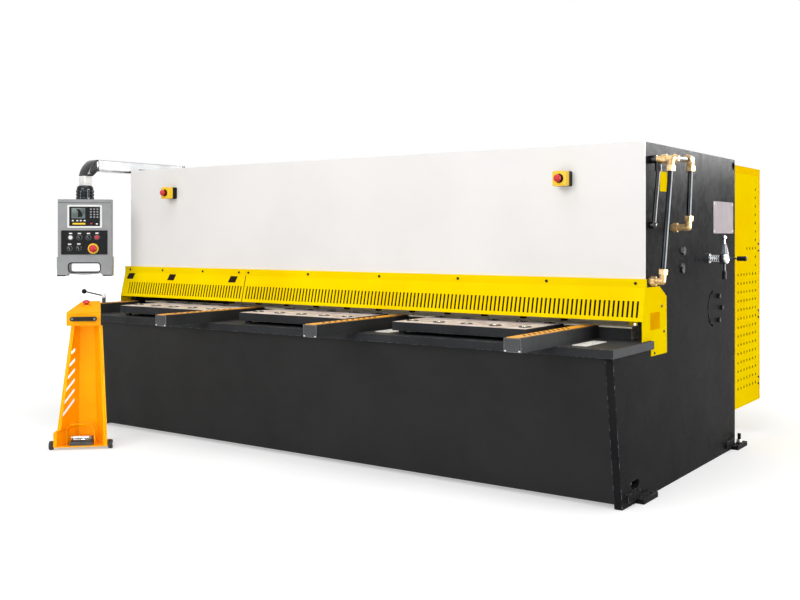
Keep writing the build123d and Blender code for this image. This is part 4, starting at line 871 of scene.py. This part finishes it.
disc = turned([(0.0355, 0), (0.0355, 0.0012), (0.0345, 0.002), (0.012, 0.002)], 48)
on_pendant("stop_disc", disc, stop_at, "yellow_plastic")
stop = on_pendant("pendant_mushroom", mushroom(0.025, 0.0315), stop_at, "red_plastic")
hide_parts("pendant_stop_button")

# %% Housing trim: the lining of the hand grip, a seam and two feet
housing_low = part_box("pendant_housing")[0][2]
opening = rounded(0.217, 0.071, 0.024, 5)
wall = [
    (0, 0), (0, 0.001), (0.0055, 0.0012), (0.0074, 0.0002), (0.0074, -0.109), (0.006, -0.109), (0.0055, 0),
    (0, 0),
]
grip_wall = pad(opening, wall)[0], [grid_faces(len(wall), len(opening))]
on_pendant("grip_lining", grip_wall, [(0, housing_low + 0.0585, 0)], "black_plastic")
seam = slab(0.348, 0.0025, 0.001, 2, (0, 0), (0, 0.0006), (0.0004, 0.001))
on_pendant("housing_seam", seam, [(0, 1.514, 0)], "black_plastic")
foot = slab(0.056, 0.010, 0.003, 3, (0, 0), (0, 0.108), (0.001, 0.110))
feet_at = [(a, housing_low + 0.0045, -0.1095) for a in (-0.151, 0.151)]
on_pendant("housing_feet", foot, feet_at, "black_rubber")
print("pendant turned by", round(turn * 180 / pi, 1), "degrees")

# %% [markdown]
# ## Coupling, elbow and arm
# The arm is an aluminium profile. A black elbow turns it down, and a ribbed coupling lets the
# pendant swivel. The coupling is a function of angle and height: its radius dips where the angle
# falls between two ribs, and at each groove. The elbow is a corner casting: its side outline has a
# rounded back, and a pad as thick as the arm is wide gives it soft edges.


# %% Ribbed coupling
def about(radii, heights, angle):
    """Point rows round an upright axis: radius times the angle's cosine and sine, and one height per row."""
    return raised(np.stack([radii * np.cos(angle), radii * np.sin(angle)], axis=-1), heights)


low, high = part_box("pendant_coupling")
radius, neck, shoulder, rib_depth = 0.059, 0.0435, 0.064, 0.0035
height = high[2] - low[2]
angle = np.linspace(0, 2 * pi, 192, endpoint=False)
level = np.array([0, 0.003, 0.017, 0.019, 0.023, 0.025, 0.039, 0.041, 0.045, 0.047, 0.060, shoulder])
groove = np.isin(np.arange(len(level)), [3, 4, 7, 8])[:, None]
ribs = 0.5 + 0.5 * np.tanh(5 * np.cos(14 * angle))
shell = radius - rib_depth * groove - rib_depth * (1 - ribs)[None] * ~groove
shell[[0, -1]] = radius - 0.003
rise = np.linspace(0.1, 1, 7)
dome = neck - 0.003 + (radius - neck) * np.sqrt(1 - rise ** 2)
radii = np.concatenate([shell, np.repeat(dome[:, None], len(angle), axis=1)])
heights = np.concatenate([level, shoulder + (height - shoulder) * rise])
coupling = place(tube(about(radii, heights, angle)), [swivel_x, swivel_y, low[2]], "top")
ribbed = build("ribbed_coupling", coupling, "pipe_metal", "pendant_body")
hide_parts("pendant_coupling")

# %% Elbow: a corner casting with a rounded back
arm_low, arm_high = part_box("pendant_arm")
wide, edge = arm_high[0] - arm_low[0], 0.007
side_line = np.array([
    (-1.078, 1.697), (-1.024, 1.697), (-0.975, 1.740), (-0.975, 1.8135), (-0.990, 1.8112), (-1.010, 1.8025),
    (-1.0315, 1.785), (-1.050, 1.764), (-1.0645, 1.740), (-1.073, 1.718),
])
casting = pad(side_line, [
    (edge, 0), (0.002, 0.002), (0, edge), (0, wide - edge), (0.002, wide - 0.002), (edge, wide),
])
cheek = pad(side_line * 0.62 + np.array([-1.022, 1.752]) * 0.38, [(0, 0), (0.001, 0.0012), (0.003, 0.0016)])
elbow = build("arm_elbow", place(casting, [arm_low[0], 0, 0], "right"), "pipe_black",
              "pendant_arm_body", 50)
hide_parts("pendant_elbow")
build("elbow_cheek", place(cheek, [arm_high[0], 0, 0], "right"), "black_plastic",
      "pendant_arm_body")

# %% Drop tube and the arm's fittings
margin = 0.0005
nose = box((arm_low[0] + margin, -0.976, arm_low[2] + margin),
           (arm_high[0] - margin, -0.9475, arm_high[2] - margin))
build("arm_nose", nose, "arm_aluminium", "pendant_arm_body")
tube_low, tube_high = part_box("pendant_drop_tube")
square = slab(0.064, 0.064, 0.009, 5, (0, 0), (0, tube_high[2] - tube_low[2]))
drop = build("drop_tube", place(square, [swivel_x, swivel_y + 0.002, tube_low[2]], "top"), "white_plastic",
             "pendant_arm_body")
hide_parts("pendant_drop_tube")
# A black strip under the arm is painted shade on the arm's underside.
underside_shade = box((arm_low[0] + 0.001, -0.975, arm_low[2] - 0.008), (arm_high[0] + 0.001, -0.27, arm_low[2] + 0.003))
slot_part = slab(0.070, 0.008, 0.003, 3, (0, 0), (0, 0.0006), (0.0004, 0.001))
edge_line = slab(0.70, 0.0035, 0.001, 2, (0, 0), (0.0004, 0.0008))
edges = [
    place(edge_line, [x, -0.62, arm_high[2] - 0.002], name)
    for x, name in ((arm_high[0], "right"), (arm_low[0], "left"))
]
pivot_cap = turned([
    (0.0472, 0), (0.0472, 0.010), (0.0455, 0.0115), (0.020, 0.0117), (0.020, 0.0125), (0, 0.0125),
], 40)
pivot_at = [swivel_x, -0.21, arm_high[2] - 0.011]
for name, part, look, slot in (
    # The arm's slot is a black pad: painted shade for the dark inside of a slot.
    ("arm_slot_shade", place(slot_part, [arm_high[0], -0.595, 1.761], "right"), "hole_painted_shade", "black_plastic"),
    # the black strip under the arm: painted shade
    ("arm_underside_shade_strip", underside_shade, "pipe_black", "black_plastic"),
    ("arm_edges", join(*edges), "motor_paint", "arm_aluminium"),
    ("arm_pivot_cap", place(pivot_cap, pivot_at, "top"), "pipe_black", "black_plastic"),
):
    build(name, part, look, "pendant_arm_body")
print("coupling points", radii.size)

# %% [markdown]
# ## Turn handle and clamp lever
# The pipes and their fittings keep their CAD shape. The turn handle is built from turned parts: a
# spindle with five beads, a hub, rods and a pull knob. Its cone is cast with ribs, so the cone's
# radius swings with the angle. The clamp lever is a rod carried along a line, with a turned hub
# and a ball, so that they stay round close up.

# %% Ribbed cone
handle_y, handle_z, knob_x = 0.233, 1.160, 1.996
cone_low, cone_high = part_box("handle_cone")
angle = np.linspace(0, 2 * pi, 96, endpoint=False)
rise = np.linspace(0, 1, 12)
wave = 1 - 0.10 * (0.5 - 0.5 * np.cos(12 * angle))
radii = (0.0245 - 0.0145 * rise)[:, None] * wave[None]
cone_part = place(tube(about(radii, 0.026 + 0.058 * rise, angle)),
                  [(cone_low[0] + cone_high[0]) / 2, handle_y, handle_z], "top")
cone = build("ribbed_cone", cone_part, "motor_paint", "star_handle_body", 50)
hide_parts("handle_cone")

# %% Clamp lever: ball, rod and hub
ball_low, ball_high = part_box("clamp_knob")
ball_centre = (np.array(ball_low) + np.array(ball_high)) / 2
bow = np.linspace(-pi / 2, pi / 2, 24)
knob = turned(np.stack([0.017 * np.cos(bow), 0.017 * np.sin(bow)], axis=1), 40)
clamp_ball = build("clamp_ball", place(knob, ball_centre, "top"), "black_plastic",
                   "clamp_lever_body", 60)
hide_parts("clamp_knob")
lever_root = np.array([-1.85, -0.99, 0.879])
rod_line = lever_root + np.linspace(0.02, 1, 12)[:, None] * (ball_centre - lever_root)
build("lever_rod", sweep(circle(0.005, 20), rod_line), "rod_black", "clamp_lever_body")
# The lever's turned hub is shown near-white: a painted highlight on its steel.
lever_hub = turned([
    (0.0125, 0), (0.014, 0.002), (0.014, 0.018), (0.0115, 0.022), (0.0095, 0.0255), (0.0095, 0.030),
    (0.0075, 0.0335), (0, 0.035),
])
hub_at = [lever_root[0], lever_root[1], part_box("clamp_lever")[0][2]]
hub_piece = build("lever_hub", place(lever_hub, hub_at, "top"), "steel_painted_highlight",
                  "clamp_lever_body")
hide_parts("clamp_lever")
print("clamp ball at", ball_centre.round(3))

# %% Turn handle: beaded spindle, hub, rods and pull knob
bead = np.linspace(0, 1, 9)[1:-1]
beads = [(0.0165 + 0.0035 * sin(pi * t), 0.002 + 0.0105 * (k + t)) for k in range(5) for t in bead]
spindle = [(0.013, 0.0), *beads, (0.013, 0.056)]
hub_line = [
    (0.022, 0.056), (0.029, 0.060), (0.031, 0.066), (0.031, 0.092), (0.029, 0.098), (0.024, 0.101),
    (0.021, 0.0985), (0.012, 0.0985), (0.012, 0.102), (0, 0.102),
]
along_x = join(turned(spindle, 40), turned(hub_line, 48), turned([(0.0045, 0.100), (0.0045, 0.152)], 20))
pull = turned([
    (0.006, 0.080), (0.006, 0.108), (0.0112, 0.112), (0.0128, 0.118), (0.0118, 0.125), (0.006, 0.1305),
    (0, 0.1315),
])
handle = build("turn_handle", join(
    place(along_x, [1.915, handle_y, handle_z], "right"), place(pull, [knob_x, handle_y, handle_z], "top"),
), "polished_steel", "star_handle_body")
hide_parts("star_handle")
lower = place(turned([(0.007, 0.028), (0.007, 0.070)], 24), [knob_x, handle_y, handle_z], "bottom")
build("handle_lower_arm", lower, "rod_black", "star_handle_body")
plug_rim = ring([(0.0128, 0), (0.0142, 0), (0.0142, 0.0125), (0.0138, 0.0135), (0.0128, 0.0125)])
plugs_at = [[frame_right, -0.2, z] for z in (1.211, 1.125)]
build("plug_rims", place(plug_rim, plugs_at, "right"), "motor_paint")
print("turn handle faces", len(handle.data.polygons))

# %% [markdown]
# ## Motor and pump on the tank
# Seen from above and through the rear guard, the motor has cooling fins. Its radius is a square
# wave of the angle, smoothed a little, and constant along its length but for the end bells.

# %% Finned motor
motor_low, motor_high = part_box("motor_and_pump")
motor_x0, motor_x1 = motor_low[0], motor_low[0] + 0.38
motor_y, axis_z = (motor_low[1] + motor_high[1]) / 2, motor_high[2] - 0.095
tank_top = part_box("oil_tank")[1][2]
fin_count = 36
angle = np.linspace(0, 2 * pi, 8 * fin_count, endpoint=False)
fins = 0.5 + 0.5 * np.tanh(4 * np.cos(fin_count * angle))
stations = np.array([0, 0.004, 0.05, 0.051, 0.33, 0.331, 0.376, 0.38])
bodyline = np.array([0.070, 0.084, 0.090, 0.078, 0.078, 0.088, 0.084, 0.070])
finned = np.array([0, 0, 0, 1, 1, 0, 0, 0])
radii = bodyline[:, None] + finned[:, None] * 0.016 * fins[None]
motor_body = place(tube(about(radii, stations, angle)), [motor_x0, motor_y, axis_z], "right")
terminal = box((motor_x0 + 0.14, motor_y - 0.05, axis_z + 0.07),
               (motor_x0 + 0.25, motor_y + 0.05, axis_z + 0.0945), 0.004)
rails = [
    box((motor_x0 + 0.06, y - 0.02, tank_top), (motor_x1 - 0.06, y + 0.02, axis_z - 0.06), 0.003)
    for y in (motor_y - 0.05, motor_y + 0.05)
]
pump = box((motor_x1, motor_y - 0.065, tank_top), (motor_high[0], motor_y + 0.065, axis_z + 0.065), 0.006)
motor = build("finned_motor", join(motor_body, terminal, *rails, pump), "motor_paint")
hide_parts("motor_and_pump")
filler = turned([(0.032, 0), (0.032, 0.018), (0.026, 0.024), (0, 0.024)])
level_gauge = box((-0.56, motor_y - 0.03, tank_top), (-0.50, motor_y + 0.03, tank_top + 0.05), 0.004)
filler = place(filler, [0.45, motor_y, tank_top], "top")
build("tank_filler", join(filler, level_gauge), "dark_steel")
print("fins", fin_count)

# %% [markdown]
# ## Pedal stand
# The stand is folded sheet, painted amber. Its CAD shape stays. Added are its wheels, turned with
# a tyre and a hub, the red mushroom, the ribs on the pedal, and the screws of the bar handle. The
# stand faces the same way as the pendant, so it shares the pendant's two directions.

# %% Stand plane and wheels
stand_at = np.array([-1.291, -1.608, 0])


def on_stand(a, z, h):
    """A point of the stand: across from its middle, up from the floor, and forward of its front edge."""
    return stand_at + across * a + UP * z + out * h


tyre = ring([
    (0.0165, -0.0125), (0.0245, -0.0125), (0.0264, -0.009), (0.027, 0.0), (0.0264, 0.009), (0.0245, 0.0125),
    (0.0165, 0.0125),
], 40)
hub = ring([
    (0.0062, -0.0135), (0.011, -0.0135), (0.0125, -0.009), (0.0176, -0.009), (0.0176, 0.009), (0.0125, 0.009),
    (0.011, 0.0135), (0.0062, 0.0135),
], 40)
# Each wheel's hub is bright metal shown near-white: a painted highlight.
for name, body, side in (
    ("stand_wheel_left", "wheel_left_body", -1), ("stand_wheel_right", "wheel_right_body", 1),
):
    where = on_stand(side * 0.172, 0.027, -0.030), -side * out, UP
    wheel = build(name + "_tyre", place(tyre, *where), "black_rubber", body)
    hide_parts(name)
    build(name + "_hub", place(hub, *where), "steel_painted_highlight", body)

# %% Bar handle screws, mushroom and pedal ribs
bar_screws_at = [on_stand(0.024 + s * 0.065, 0.791, 0.048) for s in (-1, 1)]
bar_screws = place(socket_screw(0.007, 0.003), bar_screws_at, across, UP)
build("bar_handle_screws", bar_screws, "motor_paint")
head_slope, seat_back = 0.055 / 0.19, 0.110
slope = unit(UP + out * head_slope)
seat = on_stand(0.021, 0.830 + head_slope * seat_back, 0.012 - seat_back) + slope * 0.008
stand_cap = place(mushroom(0.021, 0.0265), seat, across, np.cross(slope, across))
stand_button = build("stand_mushroom", stand_cap, "red_plastic")
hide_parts("stand_stop_button")
tilt = radians(10)
along = out * cos(tilt) + UP * sin(tilt)
pin = on_stand(0, 0.057, -0.091) - np.cross(along, across) * 0.009
ribs_at = [pin + along * s for s in (0.03, 0.042, 0.054, 0.066, 0.078, 0.090)]
rib = slab(0.090, 0.004, 0.0015, 2, (0, 0), (0, 0.0006), (0.0006, 0.0014))
build("pedal_ribs", place(rib, ribs_at, across, along), "polished_steel", "pedal_body")
print("stand at", stand_at[:2])

# %% [markdown]
# ## Nuts on the feet
# The machine stands on feet with levelling bolts. Nuts on the CAD bolts make them read as bolts.

# %% Foot nuts
nuts = place(hex_bolt(0.030, 0.016), [[s * 1.925, 0.75, 0.034] for s in (-1, 1)], "top")
build("foot_nuts", nuts, "zinc")

# %% [markdown]
# ## Floor and light
# The floor is a pale sweep that keeps the shadow. To the camera it is lifted to white by a little
# light of its own, seen only by camera, glossy and transmission rays, so it lights nothing. The
# world does the same: these rays see it white, and it lights the machine with less than half of that.


# %% Floor
def seen_rays(tree):
    """One for camera, glossy and transmission rays, and nothing for the rays that carry light."""
    rays = node(tree, "ShaderNodeLightPath").outputs
    seen = calc(tree, "MAXIMUM", rays["Is Camera Ray"], rays["Is Glossy Ray"])
    return calc(tree, "MAXIMUM", seen, rays["Is Transmission Ray"])


floor_material = bpy.data.materials.new("floor_paper")
floor_material.use_nodes = True
tree = floor_material.node_tree
paper = tree.nodes["Principled BSDF"]
paper.inputs["Roughness"].default_value = 0.9
paper.inputs["Specular IOR Level"].default_value = 0.1
paper.inputs["Base Color"].default_value = (0.72, 0.72, 0.72, 1)
spot = node(tree, "ShaderNodeTexCoord").outputs["Object"]
reach = node(tree, "ShaderNodeVectorMath", [(0, spot)], operation="LENGTH").outputs["Value"]
glow_strength = calc(tree, "MULTIPLY", seen_rays(tree), spread(tree, reach, 2.5, 7.0, 0.42, 1.0))
glow = node(tree, "ShaderNodeEmission", [("Strength", glow_strength)])
both = node(tree, "ShaderNodeAddShader", [(0, paper.outputs[0]), (1, glow.outputs[0])])
tree.links.new(both.outputs[0], tree.nodes["Material Output"].inputs["Surface"])
size = 30.0
mesh = bpy.data.meshes.new("floor")
mesh.from_pydata([(-size, -size, 0), (size, -size, 0), (size, size, 0), (-size, size, 0)], [], [(0, 1, 2, 3)])
mesh.materials.append(floor_material)
floor = bpy.data.objects.new("floor", mesh)
bpy.context.scene.collection.objects.link(floor)

# %% World and lamps
world = bpy.data.worlds.new("studio")
bpy.context.scene.world = world
world.use_nodes = True
sky = world.node_tree
background = sky.nodes["Background"]
sky.links.new(spread(sky, seen_rays(sky), 0, 1, 0.40, 1.0), background.inputs["Strength"])
background.inputs["Color"].default_value = (1, 1, 1, 1)


def lamp(name, at, aim, width, height, power, spread_angle=180):
    """A plain white area lamp that looks at a point."""
    light = bpy.data.lights.new(name, "AREA")
    light.shape = "RECTANGLE"
    light.size, light.size_y, light.energy = width, height, power
    light.spread = radians(spread_angle)
    made = bpy.data.objects.new(name, light)
    made.location = at
    made.rotation_euler = (Vector(aim) - Vector(at)).to_track_quat("-Z", "Y").to_euler()
    bpy.context.scene.collection.objects.link(made)
    return made


lamp("front_soft", (0.8, -8.5, 4.5), (0.4, -0.6, 1.0), 7, 4, 288)
lamp("right_soft", (8.0, 1.0, 3.0), (1.9, 0, 1.2), 4, 3, 165)
lamp("low_front", (0.6, -9.0, 1.3), (0.3, -0.7, 0.85), 6, 0.7, 62)
lamp("stand_fill", (1.47, -4.49, 0.55), (-1.35, -1.6, 0.30), 0.4, 0.4, 1.1, 24)
lamp("rear_sheen", (4.4, 7.6, 3.5), (1.9, 0.0, 1.7), 3.2, 2.4, 760).visible_diffuse = False
lamp("pipe_rim", (6.4, 1.3, 1.9), (1.95, -0.3, 1.4), 7.0, 3.0, 1000).visible_diffuse = False
lamp("top_soft", (0.5, -1.5, 6.5), (0, -0.5, 0.8), 6, 4, 190)
bpy.context.scene.view_settings.view_transform = "Standard"
